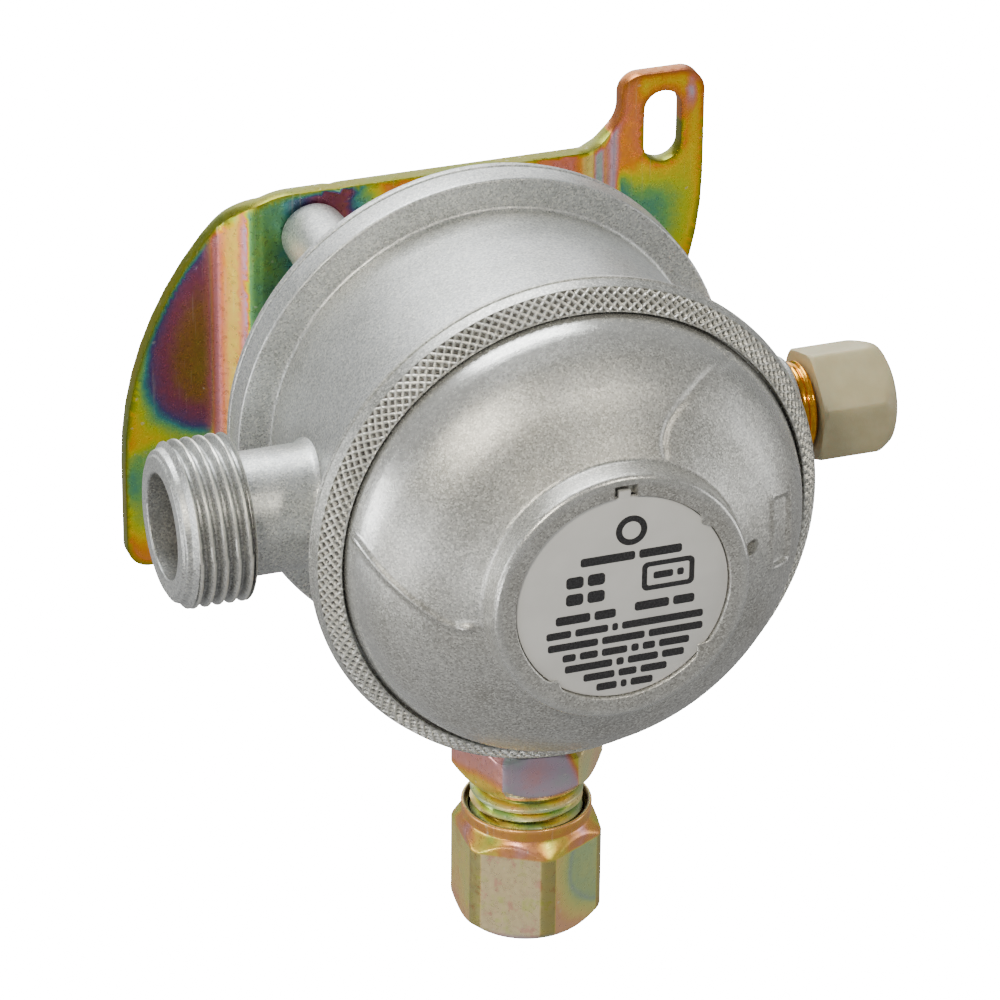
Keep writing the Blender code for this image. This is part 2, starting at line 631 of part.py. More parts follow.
def make_test_point():
    at = (0, TEST_Y, 0)
    turned("test_nipple", BRASS, [
        (5.6, 37.3), (5.6, 35.5), (4.7, 35.5), (4.7, 29.2), (4.2, 28.7), (1.1, 28.7),
        (1.1, TEST_SPIGOT_END), (3.6, TEST_SPIGOT_END), (TEST_SPIGOT_R, TEST_SPIGOT_END - 0.6),
        (TEST_SPIGOT_R, 37.3),
    ], 24, ring=True, at=at, axis="X")
    corner = hexagon_radius(CAP_AF)
    cap = hex_body("test_cap", PLASTIC, CAP_AF, CAP_START, CAP_END, at, "X", CAP_TURN, [
        (0, CAP_END), (5.3, CAP_END), (6.3, CAP_END - 0.5), (corner - 0.25, CAP_END - 2.2),
        (corner - 0.25, CAP_START + 0.7), (6.5, CAP_START), (0, CAP_START),
    ])
    cut(cap, rod("cap_bore", None, CAP_BORE, CAP_START - 2, CAP_BORE_END, at, "X", 24))
    turned("cap_washer", RUBBER, [
        (4.1, 45.3), (4.1, 44.2), (1.2, 44.2), (1.2, 45.3),
    ], 24, ring=True, at=at, axis="X")
    turned("inlet_filter", SINTER, [
        (0, -31.6), (4.3, -31.6), (4.3, -34.2), (3.6, -34.8), (0, -34.8),
    ], 24, at=(0, INLET_Y, 0), axis="X")


# ---- Valve mechanism of one stage -------------------------------------------------------

def make_lever(prefix, stage):
    """Bell-crank lever: the long arm goes under the stem, the short fork pushes the valve."""
    half = LEVER_W / 2
    pin = (PIN_X, PIN_H, 0)
    lever = rod(prefix + "_lever", STEEL, 1.4, -half, half, pin, "Z", 20, stage)
    join(
        lever,
        block(prefix + "_long_arm", None, (PIN_X, PIN_H - LEVER_T / 2, -half),
              (2.4, PIN_H + LEVER_T / 2, half), stage),
        block(prefix + "_short_arm", None, (PIN_X - 0.8, PIN_H, -half - 0.01),
              (PIN_X + 0.8, 6.6, half + 0.01), stage),
    )
    cut(
        lever,
        rod(prefix + "_lever_hole", None, PIN_HOLE_R, -half - 1, half + 1, pin, "Z",
            ROUND_SMALL, stage),
        block(prefix + "_stem_slot", None, (-2.2, -1, -1.35), (4, 4, 1.35), stage),
        block(prefix + "_valve_slot", None, (PIN_X - 2, 3.6, -1.4), (PIN_X + 2, 8, 1.4), stage),
    )
    reach = RIB_OUT - 0.2
    rod(prefix + "_lever_pin", STEEL, PIN_R, -reach, reach, pin, "Z", ROUND_SMALL, stage)


def make_valve(prefix, stage):
    at = (0, NOZZLE_H, 0)
    turned(prefix + "_nozzle", BRASS, [
        (0.9, -13.9), (1.3, -13.9), (1.7, -14.9), (2.6, -14.9), (2.6, BLOCK_X1 + GAP),
        (1.9, BLOCK_X1 + GAP), (1.9, -19.4), (0.9, -19.4),
    ], ROUND_SMALL, ring=True, at=at, axis="X", parent=stage)
    turned(prefix + "_valve_holder", WHITE_PLASTIC, [
        (0, -11.9), (2.4, -11.9), (2.4, -13.0), (2.7, -13.0), (2.7, -10.2), (1.1, -10.2), (1.1, -7.7),
        (1.9, -7.7), (1.9, -6.9), (0, -6.9),
    ], 20, at=at, axis="X", parent=stage)
    turned(prefix + "_valve_pad", RUBBER, [
        (0, -12.2), (2.2, -12.2), (2.2, -13.3), (0, -13.3),
    ], 20, at=at, axis="X", parent=stage)


def make_diaphragm(prefix, radius, stage):
    """Rubber diaphragm with one rolled fold between its clamped edge and its plate."""
    low, high = DIAPHRAGM_H, DIAPHRAGM_H + DIAPHRAGM_T
    fold = [(23.6, 0.0), (21.0, 1.4), (18.4, 0.0)]
    turned(prefix + "_diaphragm", RUBBER, [
        *[(r, high + h) for r, h in fold[::-1]],
        (radius, high),
        (radius, low),
        *[(r, low + h) for r, h in fold],
        (2.3, low),
        (2.3, high),
    ], ROUND_MID, ring=True, parent=stage)


def make_plate_and_stem(prefix, stage):
    """Plate that the spring presses on, and the hooked stem that works the lever."""
    inner = PLATE_R - PLATE_T
    turned(prefix + "_diaphragm_plate", ZINC_BRIGHT, [
        (2.0, PLATE_H), (inner, PLATE_H), (PLATE_R, PLATE_H + PLATE_T), (PLATE_R, PLATE_H + 2.0),
        (inner, PLATE_H + 2.0), (inner - 0.1, PLATE_H + PLATE_T), (2.0, PLATE_H + PLATE_T),
    ], ROUND_MID, ring=True, parent=stage)
    turned(prefix + "_stem", BRASS, [
        (0, -0.25), (1.9, -0.25), (1.9, 0.75), (1.0, 0.75), (1.0, CHAMBER_DEPTH - 0.8),
        (6.0, CHAMBER_DEPTH - 0.8), (6.0, CHAMBER_DEPTH), (1.6, CHAMBER_DEPTH),
        (1.6, PLATE_H + 6.0), (0, PLATE_H + 6.0),
    ], 24, parent=stage)


def make_stage(prefix, stage, radius, spring_r, wire, seat_h, seat_r):
    make_lever(prefix, stage)
    make_valve(prefix, stage)
    make_diaphragm(prefix, radius, stage)
    make_plate_and_stem(prefix, stage)
    coil(prefix + "_spring", STEEL, spring_r, wire, PLATE_H + PLATE_T + GAP, seat_h - GAP, MAIN_COILS,
         stage)
    turned(prefix + "_spring_washer", STEEL, [
        (2.2, seat_h), (seat_r, seat_h), (seat_r, seat_h + SEAT_T), (2.2, seat_h + SEAT_T),
    ], ROUND_MID, ring=True, parent=stage)
    low = seat_h + SEAT_T + GAP
    high = low + ADJUSTER_T
    adjuster = turned(prefix + "_adjuster", WHITE_PLASTIC if prefix == "front" else ZINC_BRIGHT, [
        (0, low), (seat_r, low), (seat_r, high), (0, high),
    ], ROUND_MID, parent=stage)
    cut(adjuster, rod(prefix + "_adjuster_socket", None, 2.9, high - 1.3, high + 2, (0, 0, 0), "Y", 6,
                      stage))


def make_relief_parts():
    """Second-stage relief: a light spring holds the plate down on the stem."""
    low = PLATE_H + PLATE_T + 0.2
    top = low + RELIEF_SPRING_H + 0.2
    coil("front_relief_spring", STEEL, RELIEF_SPRING_R, RELIEF_WIRE, low, low + RELIEF_SPRING_H,
         RELIEF_COILS, FRONT_STAGE)
    turned("front_relief_washer", ZINC_BRIGHT, [
        (1.8, top), (4.4, top), (4.4, top + 0.8), (1.8, top + 0.8),
    ], 20, ring=True, parent=FRONT_STAGE)


def make_rear_stem_nut():
    low = PLATE_H + PLATE_T + 0.2
    high = low + STEM_NUT_H
    nut = rod("rear_stem_nut", ZINC_BRIGHT, STEM_NUT_R, low, high, (0, 0, 0), "Y", 6, REAR_STAGE)
    cut(nut, rod("stem_nut_bore", None, 1.8, low - 1, high + 2, (0, 0, 0), "Y", ROUND_SMALL, REAR_STAGE))


# ---- The object -------------------------------------------------------------------------

clear_scene()
PARTS = collection("gas_regulator")
CUTTERS = collection("cutters", hidden=True)

CAST = material("cast_zinc_silver_paint", (0.62, 0.63, 0.64), 0.42, 0.6)
LABEL = material("label_silver", (0.70, 0.70, 0.70), 0.4, 0.3)
ZINC_YELLOW = material("yellow_zinc_steel", (0.78, 0.62, 0.36), 0.32, 0.9)
ZINC_BRIGHT = material("bright_zinc_steel", (0.72, 0.73, 0.74), 0.3, 0.9)
STEEL = material("spring_steel", (0.45, 0.45, 0.46), 0.3, 1.0)
BRASS = material("brass", (0.85, 0.62, 0.25), 0.25, 1.0)
PLASTIC = material("cap_plastic", (0.60, 0.57, 0.49), 0.45, 0.0)
WHITE_PLASTIC = material("acetal", (0.85, 0.85, 0.82), 0.4, 0.0)
RUBBER = material("black_rubber", (0.03, 0.03, 0.03), 0.7, 0.0)
SINTER = material("sintered_bronze", (0.55, 0.40, 0.25), 0.7, 0.8)

# The two valve mechanisms are alike; the front one is turned half a turn about Z.
FRONT_STAGE = stage_empty("front_stage", FRONT_FLOOR_Y, pi)
REAR_STAGE = stage_empty("rear_stage", REAR_FLOOR_Y, 0.0)
bpy.context.view_layer.update()

make_main_body()
make_front_cover()
make_label_plate()
make_rear_cover()
make_bracket()
make_bracket_screws()
make_outlet_fitting()
make_test_point()
make_stage("front", FRONT_STAGE, FRONT_RECESS_R - 0.4, FRONT_SPRING_R, FRONT_WIRE, FRONT_SEAT_H,
           FRONT_TOWER_R - GAP)
make_stage("rear", REAR_STAGE, REAR_RECESS_R - 0.4, REAR_SPRING_R, REAR_WIRE, REAR_SEAT_H,
           REAR_TOWER_BORE - GAP)
make_relief_parts()
make_rear_stem_nut()
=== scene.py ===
"""Looks of the wall-mounted gas regulator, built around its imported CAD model.

Lengths are in millimetres, and MM turns them into Blender's metres.
Frame: +Z up, +Y into the wall, the round body's own axis along Y through the origin.
"""

import json
from math import atan2, ceil, cos, degrees, hypot, pi, radians, sin, sqrt, tan

import bmesh
import bpy
import numpy as np
from mathutils import Matrix, Vector, noise


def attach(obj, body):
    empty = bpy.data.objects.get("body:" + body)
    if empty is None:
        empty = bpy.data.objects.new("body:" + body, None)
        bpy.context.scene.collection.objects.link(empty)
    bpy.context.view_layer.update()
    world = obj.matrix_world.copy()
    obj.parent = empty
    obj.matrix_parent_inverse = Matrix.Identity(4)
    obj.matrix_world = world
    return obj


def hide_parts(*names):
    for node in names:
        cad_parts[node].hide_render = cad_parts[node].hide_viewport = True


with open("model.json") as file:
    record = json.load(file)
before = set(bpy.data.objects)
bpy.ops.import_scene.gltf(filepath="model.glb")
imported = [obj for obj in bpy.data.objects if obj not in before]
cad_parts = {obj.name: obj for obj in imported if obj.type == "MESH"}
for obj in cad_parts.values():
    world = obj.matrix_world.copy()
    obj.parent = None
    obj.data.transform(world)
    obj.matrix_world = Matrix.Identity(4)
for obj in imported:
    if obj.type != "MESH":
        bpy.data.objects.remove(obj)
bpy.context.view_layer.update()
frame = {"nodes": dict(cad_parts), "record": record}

MM = 0.001
NODES = frame["nodes"]

# ---- Sizes that follow the CAD model -------------------------------------------------------

RIM_R, RIM_KNURL_R, RIM_LIP_R = 31.4, 30.9, 28.9
RIM_Y, RIM_CONE, RIM_REAR, RIM_FOOT = -61.4, 2.1, 4.2, 8.4
DRUM_FRONT_R, DRUM_REAR_R = 28.0, 27.2
FLANGE_R, FLANGE_Y, SEAM_Y, COVER_END_Y = 31.2, -29.4, -25.55, -24.35
BOSS_R, BOSS_Y, RECESS, LABEL_R, LABEL_THICK = 15.6, -77.2, 1.35, 12.85, 0.6
TAB_HALF, TAB_R, NOTCH_HALF, NOTCH_R = 0.7, 13.7, 1.4, 14.6
LABEL_FACE = BOSS_Y + RECESS - 0.3 - LABEL_THICK
INLET_Y, INLET_END, INLET_R, INLET_NECK_R, INLET_BORE = -44.2, -45.1, 10.0, 7.4, 6.35
OUTLET_Y, HEX_AF, NUT_TOP, NUT_END = -45.7, 16.8, -44.7, -60.5
HEX_TOP, HEX_END, SPIGOT_R, SPIGOT_END = -34.2, -40.9, 6.95, -53.4
TEST_Y, CAP_AF, CAP_START, CAP_END = -39.15, 13.1, 37.6, 47.8
SHEET, JOGGLE, PANEL_HALF, BEND_RUN, BEND_R, BRACKET_X = 2.0, 3.4, 21.2, 4.4, 2.2, 0.4
SLOT_X, SLOT_Z, SLOT_W, SLOT_L = 32.6, 21.8, 5.0, 9.6
POST_X, POST_Z, POST_R, POST_END = 14.2, 15.8, 4.1, -5.7
HEX_R = HEX_AF / 2 / cos(pi / 6) - 0.33
HEX_TURN, NUT_TURN = -98.8, -121.75
THREAD_PITCH = 1.5


# ---- Mesh tools ----------------------------------------------------------------------------

def soft_min(a, b, k):
    """The smaller of a and b, with the corner between them rounded over a width k."""
    h = np.clip(0.5 + 0.5 * (b - a) / k, 0.0, 1.0)
    return b * (1 - h) + a * h - k * h * (1 - h)


def smooth_step(low, high, x):
    t = np.clip((x - low) / (high - low), 0.0, 1.0)
    return t * t * (3 - 2 * t)


def lobe(value, middle, width):
    return np.exp(-((value - middle) / width) ** 2)


def spot(x, z, middle, size):
    return np.exp(-((x - middle[0]) / size[0]) ** 2 - ((z - middle[1]) / size[1]) ** 2)


def rounded(corners, closed=True, step=15.0):
    """A line through (a, b, radius) corners, each rounded by an arc of that radius."""
    line = []
    last = len(corners) - 1
    for i, (a, b, radius) in enumerate(corners):
        if radius <= 0 or (not closed and i in (0, last)):
            line.append((a, b))
            continue
        here = Vector((a, b))
        before = (Vector(corners[i - 1][:2]) - here).normalized()
        after = (Vector(corners[(i + 1) % len(corners)][:2]) - here).normalized()
        half = before.angle(after) / 2
        middle = here + (before + after).normalized() * (radius / sin(half))
        first = here + before * (radius / tan(half)) - middle
        end = here + after * (radius / tan(half)) - middle
        start = atan2(first.y, first.x)
        sweep = (atan2(end.y, end.x) - start + pi) % (2 * pi) - pi
        count = max(2, ceil(abs(degrees(sweep)) / step))
        for k in range(count + 1):
            angle = start + sweep * k / count
            line.append((middle.x + radius * cos(angle), middle.y + radius * sin(angle)))
    return line


def rounded_box(left, right, low, high, radius, step=15.0):
    corners = (left, low), (right, low), (right, high), (left, high)
    return rounded([(a, b, radius) for a, b in corners], step=step)


def dense(line, step, closed=False):
    """The same line with its long stretches divided into steps."""
    out = []
    pairs = zip(line, line[1:] + (line[:1] if closed else []))
    for (a0, b0), (a1, b1) in pairs:
        count = max(1, ceil(hypot(a1 - a0, b1 - b0) / step))
        out += [(a0 + (a1 - a0) * k / count, b0 + (b1 - b0) * k / count) for k in range(count)]
    return out if closed else out + [line[-1]]


def axis_points(axis, centre, r, h, angle):
    """Points at a radius, a place along an axis and an angle about it."""
    c, s = r * np.cos(angle), r * np.sin(angle)
    order = {"X": (h, c, s), "Y": (c, h, s), "Z": (c, s, h)}[axis]
    return np.stack([np.broadcast_to(v, c.shape) for v in order], axis=-1) + np.array(centre)


def linked(name, data):
    obj = bpy.data.objects.new(name, data)
    bpy.context.scene.collection.objects.link(obj)
    return obj


def mesh_object(name, points, faces):
    mesh = bpy.data.meshes.new(name)
    mesh.from_pydata([tuple(p) for p in np.asarray(points) * MM], [], [tuple(f) for f in faces])
    return linked(name, mesh)


def bmesh_object(name, bm):
    mesh = bpy.data.meshes.new(name)
    bm.to_mesh(mesh)
    bm.free()
    return linked(name, mesh)


def clean(obj, sharp=38.0):
    """Welds doubled points, turns faces outwards and shades smooth between sharp edges."""
    bm = bmesh.new()
    bm.from_mesh(obj.data)
    bmesh.ops.remove_doubles(bm, verts=bm.verts, dist=2e-6)
    bmesh.ops.dissolve_degenerate(bm, edges=bm.edges, dist=1e-7)
    bmesh.ops.recalc_face_normals(bm, faces=bm.faces)
    if bm.calc_volume(signed=True) < 0:
        bmesh.ops.reverse_faces(bm, faces=bm.faces)
    bm.to_mesh(obj.data)
    bm.free()
    obj.data.shade_smooth()
    obj.data.set_sharp_from_angle(angle=radians(sharp))
    return obj


def turned(name, line, columns, axis="Y", centre=(0, 0, 0), ring=True, shape=None, relief=None,
           sharp=38.0):
    """A turned body from (radius, height) points.

    shape(angle, r, h) may change r and h of each point, and relief(angle, r, h, facing) gives
    a height that each point is raised by along its normal, whose part along the axis is facing.
    """
    line = np.array(line)
    angle = np.arange(columns) * 2 * pi / columns
    a = np.repeat(angle[:, None], len(line), axis=1)
    r = np.repeat(line[None, :, 0], columns, axis=0)
    h = np.repeat(line[None, :, 1], columns, axis=0)
    if relief:
        ahead, behind = np.roll(line, -1, axis=0), np.roll(line, 1, axis=0)
        if not ring:
            ahead[-1], behind[0] = line[-1], line[0]
        tangent = ahead - behind
        tangent /= np.maximum(np.hypot(tangent[:, 0], tangent[:, 1]), 1e-9)[:, None]
        area = np.sum(line[:, 0] * np.roll(line[:, 1], -1) - np.roll(line[:, 0], -1) * line[:, 1])
        side = 1.0 if area > 0 else -1.0
        out_r, out_h = side * tangent[:, 1], -side * tangent[:, 0]
        raised = relief(a, r, h, np.broadcast_to(out_h, r.shape))
        r, h = r + raised * out_r, h + raised * out_h
    if shape:
        r, h = shape(a, r, h)
    points = axis_points(axis, centre, r, h, a).reshape(-1, 3)
    rows = len(line)
    reach = rows if ring else rows - 1
    faces = []
    for i in range(columns):
        here, there = i * rows, ((i + 1) % columns) * rows
        for j in range(reach):
            up = (j + 1) % rows
            faces.append((here + j, here + up, there + up, there + j))
    return clean(mesh_object(name, points, faces), sharp)


def evaluated(obj):
    """Applies the modifiers of an object."""
    graph = bpy.context.evaluated_depsgraph_get()
    mesh = bpy.data.meshes.new_from_object(obj.evaluated_get(graph))
    obj.modifiers.clear()
    obj.data = mesh
    return obj


def boolean(obj, others, operation):
    for other in others:
        change = obj.modifiers.new(other.name, "BOOLEAN")
        change.operation = operation
        change.solver = "EXACT"
        change.object = other
    evaluated(obj)
    for other in others:
        bpy.data.objects.remove(other, do_unlink=True)


def box_object(name, low, high):
    bm = bmesh.new()
    bmesh.ops.create_cube(bm, size=1.0)
    size = Vector(high) - Vector(low)
    bmesh.ops.scale(bm, vec=size * MM, verts=bm.verts)
    bmesh.ops.translate(bm, vec=(Vector(high) + Vector(low)) / 2 * MM, verts=bm.verts)
    return bmesh_object(name, bm)


def extruded(name, loops, low, high):
    """A flat shape in X and Z, given as closed loops, made solid along Y from low to high."""
    curve = bpy.data.curves.new(name, "CURVE")
    curve.dimensions = "2D"
    curve.fill_mode = "BOTH"
    curve.extrude = (high - low) / 2 * MM
    for loop in loops:
        spline = curve.splines.new("POLY")
        spline.points.add(len(loop) - 1)
        for point, (x, z) in zip(spline.points, loop):
            point.co = (x * MM, z * MM, 0.0, 1.0)
        spline.use_cyclic_u = True
    guide = linked(name + "_guide", curve)
    bpy.context.view_layer.update()
    mesh = bpy.data.meshes.new_from_object(guide.evaluated_get(bpy.context.evaluated_depsgraph_get()))
    bpy.data.objects.remove(guide, do_unlink=True)
    # The curve's own Z becomes -Y, and its Y becomes Z.
    mesh.transform(Matrix.Translation((0, (low + high) / 2 * MM, 0)) @ Matrix.Rotation(pi / 2, 4, "X"))
    return clean(linked(name, mesh))


def vertex_points(obj):
    """The places of an object's vertices, in millimetres."""
    co = np.empty(len(obj.data.vertices) * 3)
    obj.data.vertices.foreach_get("co", co)
    return co.reshape(-1, 3) / MM


def move_vertices(obj, points):
    obj.data.vertices.foreach_set("co", (np.asarray(points) * MM).ravel())
    obj.data.update()


def field(points, size, seed):
    """Smooth noise between about -1 and 1, with features of a size in millimetres."""
    offset = Vector((seed * 7.31, seed * 3.17, seed * 5.73))
    return np.array([noise.noise(Vector(p) / size + offset) for p in points])


def store(obj, name, values):
    """Keeps one number per vertex, for a material to read."""
    layer = obj.data.attributes.new(name, "FLOAT", "POINT")
    layer.data.foreach_set("value", np.asarray(values, dtype=np.float32))


def finish_piece(obj, body, replaced, material):
    obj.data.materials.clear()
    obj.data.materials.append(material)
    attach(obj, body)
    if replaced:
        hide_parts(*replaced)


# ---- Cast body -----------------------------------------------------------------------------

KNURLS, KNURL_DEPTH = 152, 0.42


def knurl_pit(angle, r, h):
    """How far each point of the rim's cone lies between two crossing sets of ridges, from 0 to 1."""
    rise = RIM_KNURL_R - RIM_LIP_R
    slant = hypot(rise, RIM_CONE)
    along = ((r - RIM_LIP_R) * rise + (h - RIM_Y) * RIM_CONE) / slant
    pitch = 2 * pi * RIM_KNURL_R / KNURLS
    turn = angle * KNURLS / (2 * pi)
    ridges = [1 - np.abs(2 * np.mod(turn + way * along / pitch, 1.0) - 1) for way in (1.1, -1.1)]
    inside = smooth_step(-0.2, 0.1, along) * smooth_step(slant + 0.1, slant - 0.15, along)
    return smooth_step(0.12, 0.66, np.minimum(*ridges)), inside


def knurl(angle, r, h, facing):
    """The rim's knurling, worn a little more in some places than in others."""
    pit_and_painted_light, inside = knurl_pit(angle, r, h)
    wear = 0.85 + 0.15 * np.sin(angle * 7.0 + np.sin(angle * 3.0) * 2.0)
    return -KNURL_DEPTH * pit_and_painted_light * wear * inside * (facing < -0.3)


def make_rim():
    """Rolled front rim, knurled on its cone, with the mould's parting line behind its smooth band."""
    back, foot = RIM_Y + RIM_REAR, RIM_Y + RIM_FOOT + 1.0
    front = rounded([
        (28.5, RIM_Y + 0.6, 0),
        (28.6, RIM_Y, 0.15),
        (RIM_LIP_R, RIM_Y, 0.1),
        (30.0, RIM_Y + 0.95, 1.5),
        (RIM_KNURL_R, RIM_Y + RIM_CONE, 0.25),
        (RIM_R - 0.2, back - 1.0, 0),
    ], closed=False, step=30)
    rear = rounded([
        (RIM_R - 0.2, back - 1.0, 0),
        (RIM_R - 0.12, back - 0.75, 0),
        (RIM_R - 0.40, back - 0.62, 0),
        (RIM_R, back - 0.46, 0.08),
        (RIM_R - 0.05, back, 0.15),
        (28.6, RIM_Y + RIM_FOOT, 1.0),
        (DRUM_FRONT_R - 0.05, foot, 0),
        (27.0, foot, 0),
        (27.0, RIM_Y + 5.0, 0),
        (29.6, RIM_Y + 5.0, 0),
        (29.6, RIM_Y + 2.1, 0),
        (28.5, RIM_Y + 0.6, 0),
    ], closed=False, step=30)
    line = dense(front, 0.16)[:-1] + dense(rear, 1.4)[:-1]
    rim = turned("rim_knurled", line, KNURLS * 8, relief=knurl)
    points = vertex_points(rim)
    r, h = np.hypot(points[:, 0], points[:, 2]), points[:, 1]
    pit_and_painted_light, inside = knurl_pit(np.arctan2(points[:, 2], points[:, 0]), r, h)
    rise = RIM_KNURL_R - RIM_LIP_R
    below = ((h - RIM_Y) * rise - (r - RIM_LIP_R) * RIM_CONE) / hypot(rise, RIM_CONE)
    # Painted shade in the knurl's pits, and painted highlight below zero along its crest lines
    store(rim, "pit_and_painted_light", (1.6 * pit_and_painted_light - 0.6) * inside * (below < 1.4 * KNURL_DEPTH))
    return rim


def inlet_thread(angle, r, h):
    """Cuts the inlet's helical thread, and lets the neck flare where it meets the drum."""
    depth, first = 0.95, 1.9
    from_end = h - INLET_END
    seam = 0.06 * np.sign(np.sin(angle))
    phase = np.mod((from_end - first + seam) / THREAD_PITCH - angle / (2 * pi), 1.0)
    crest = smooth_step(0.66, 0.08, np.abs(phase - 0.5) * THREAD_PITCH)
    cut = smooth_step(1.0, 1.7, from_end) * (1 - smooth_step(8.5, 8.8, from_end))
    r = np.where(r > INLET_R - 0.01, r - depth * (1 - crest) * cut, r)
    # The root follows the drum, whose side curves away above and below the branch.
    z = r * np.sin(angle)
    lift = DRUM_FRONT_R - np.sqrt(np.maximum(DRUM_FRONT_R ** 2 - z ** 2, 0))
    outside = r > INLET_NECK_R - 0.05
    return r, h + np.where(outside, lift * smooth_step(-33.0, -30.0, h), 0)


def make_casting():
    """Drum with its rear flange, three ports and two chambers, in one piece."""
    drum = turned("body_casting", dense(rounded([
        (0, -47.4, 0), (25.5, -47.4, 0.6), (25.5, -56.2, 0), (27.8, -56.2, 0),
        (DRUM_FRONT_R, RIM_Y + RIM_FOOT + 0.5, 0),
        (DRUM_REAR_R, FLANGE_Y, 0.7),
        (FLANGE_R, FLANGE_Y, 0.35),
        (FLANGE_R, SEAM_Y - 0.12, 0.25),
        (29.6, SEAM_Y - 0.12, 0),
        (29.6, -27.0, 0), (25.5, -27.0, 0), (25.5, -36.0, 0.6), (0, -36.0, 0),
    ], closed=False), 2.5), 216, ring=False)
    neck = rounded([
        (0, -26.2, 0),
        (INLET_NECK_R + 0.6, -26.2, 0),
        (INLET_NECK_R + 0.6, -DRUM_FRONT_R + 0.6, 0),
        (INLET_NECK_R, -DRUM_FRONT_R - 0.3, 0.8),
        (INLET_NECK_R, -36.25, 0.25),
        (INLET_R, -36.35, 0.3),
        (INLET_R, -36.9, 0),
    ], closed=False)
    union = rounded([
        (INLET_R, -36.9, 0),
        (INLET_R, INLET_END + 1.7, 0),
        (9.25, INLET_END + 1.1, 0.3),
        (9.0, INLET_END + 0.35, 0.3),
        (8.55, INLET_END + 0.3, 0.1),
        (8.3, INLET_END, 0.25),
        (INLET_BORE, INLET_END, 0.25),
        (INLET_BORE, INLET_END + 0.8, 0),
    ], closed=False)
    bore = rounded([
        (INLET_BORE, INLET_END + 0.8, 0),
        (INLET_BORE, -37.0, 0.2),
        (5.4, -36.6, 0.2),
        (4.6, -35.6, 0),
        (4.6, -31.0, 0),
        (0, -31.0, 0),
    ], closed=False)
    line = dense(neck, 0.6)[:-1] + dense(union, 0.13)[:-1] + dense(bore, 0.5)
    inlet = turned("inlet_branch", line, 280, "X", (0, INLET_Y, 0), ring=False, shape=inlet_thread)
    outlet = turned("outlet_boss", rounded([
        (0, -24.4, 0), (6.9, -24.4, 0), (6.9, -33.6, 0.3), (9.2, -33.6, 0.5), (9.2, -26.4, 0),
        (0, -26.0, 0),
    ], closed=False)[::-1], 96, "Z", (0, OUTLET_Y, 0), ring=False)
    test = turned("test_boss", rounded([
        (0, 26.2, 0), (7.4, 26.2, 0), (7.4, 27.6, 0), (6.5, 28.9, 1.0), (6.5, 35.2, 0.5),
        (4.95, 35.2, 0.2), (4.95, 28.4, 0), (0, 28.4, 0),
    ], closed=False), 96, "X", (0, TEST_Y, 0), ring=False)
    boolean(drum, [inlet, outlet, test], "UNION")
    clean(drum)
    # Painted shade in the bore, deepening inwards, and in the thread's valleys; painted highlight on its
    # crests
    points = vertex_points(drum)
    x, off = points[:, 0], np.hypot(points[:, 1] - INLET_Y, points[:, 2])
    inside = smooth_step(INLET_BORE + 0.35, INLET_BORE + 0.05, off) * (x < -28.5)
    pit_and_painted_light = inside * (0.30 + 0.45 * smooth_step(INLET_END, INLET_END + 5.0, x))
    threaded = (x > INLET_END + 1.6) & (x < -36.3) & (off > 8.9)
    thread_shade_and_highlight = np.interp(off, [9.05, 9.7, 9.9, INLET_R], [0.42, 0.2, -0.15, -0.6])
    store(drum, "pit_and_painted_light", np.where(threaded, thread_shade_and_highlight, pit_and_painted_light))
    return drum


# ---- Front cover ---------------------------------------------------------------------------

LEFT_FOLD = [(-27.4, 5.1), (-26.7, 4.0), (-25.9, 2.9), (-25.0, 1.85), (-23.95, 0.8), (-22.7, -0.35),
             (-21.3, -1.5), (-19.8, -2.55), (-18.8, -3.0)]
RIGHT_FOLD = [(18.4, 21.0), (15.8, 21.5), (13.9, 21.55), (12.2, 21.2), (10.1, 20.4), (8.8, 19.8),
              (7.8, 19.1), (7.1, 18.5), (6.5, 17.6), (6.15, 16.7), (6.2, 15.6)]
FRAME = [(20.9, 6.0), (23.6, 5.3), (23.6, -3.3), (20.9, -2.9), (20.9, 6.0)]
VENT = (17.4, 1.3)
STAKES = [(10.0, 8.3), (10.5, -8.9), (-8.4, -10.4)]


def line_distance(x, z, line):
    """Distance from points to a line, negative on its right-hand side."""
    best = np.full(x.shape, 1e9)
    sign = np.ones(x.shape)
    for (x0, z0), (x1, z1) in zip(line, line[1:]):
        dx, dz = x1 - x0, z1 - z0
        t = np.clip(((x - x0) * dx + (z - z0) * dz) / (dx * dx + dz * dz), 0, 1)
        away_x, away_z = x - x0 - t * dx, z - z0 - t * dz
        away = np.hypot(away_x, away_z)
        nearer = away < best
        sign = np.where(nearer, np.sign(dx * away_z - dz * away_x), sign)
        best = np.where(nearer, away, best)
    return best * sign


def pocket_distance(x, z, line):
    """Distance outside a convex clockwise outline, negative inside it."""
    away = np.full(x.shape, -1e9)
    for (x0, z0), (x1, z1) in zip(line, line[1:]):
        dx, dz = x1 - x0, z1 - z0
        away = np.maximum(away, (dx * (z - z0) - dz * (x - x0)) / hypot(dx, dz))
    return away


def cover_relief(angle, r, h, facing):
    """The folds, frame and vent that stand on or in the front cover's outside."""
    x, z = r * np.cos(angle), r * np.sin(angle)
    left, right = line_distance(x, z, LEFT_FOLD), line_distance(x, z, RIGHT_FOLD)
    frame_line = pocket_distance(x, z, FRAME)
    height = 0.36 * lobe(left, 0, 0.38) - 0.16 * lobe(left, 0.75, 0.40)
    bump_x, bump_z = x + 17.5, z + 3.05 - 0.15 * (x + 17.5)
    height = np.maximum(height, 0.55 * spot(bump_x, bump_z, (0, 0), (1.05, 0.5)))
    height -= 0.20 * lobe(right, 0, 0.32)
    height += 0.26 * lobe(frame_line, 0.2, 0.30) - 0.30 * smooth_step(0.05, -0.3, frame_line)
    height -= 1.3 * smooth_step(0.9, 0.55, np.hypot(x - VENT[0], z - VENT[1]))
    outside = (facing < 0.3) & (r > BOSS_R + 0.1) & (r < 27.9)
    return np.where(outside, height, 0.0)


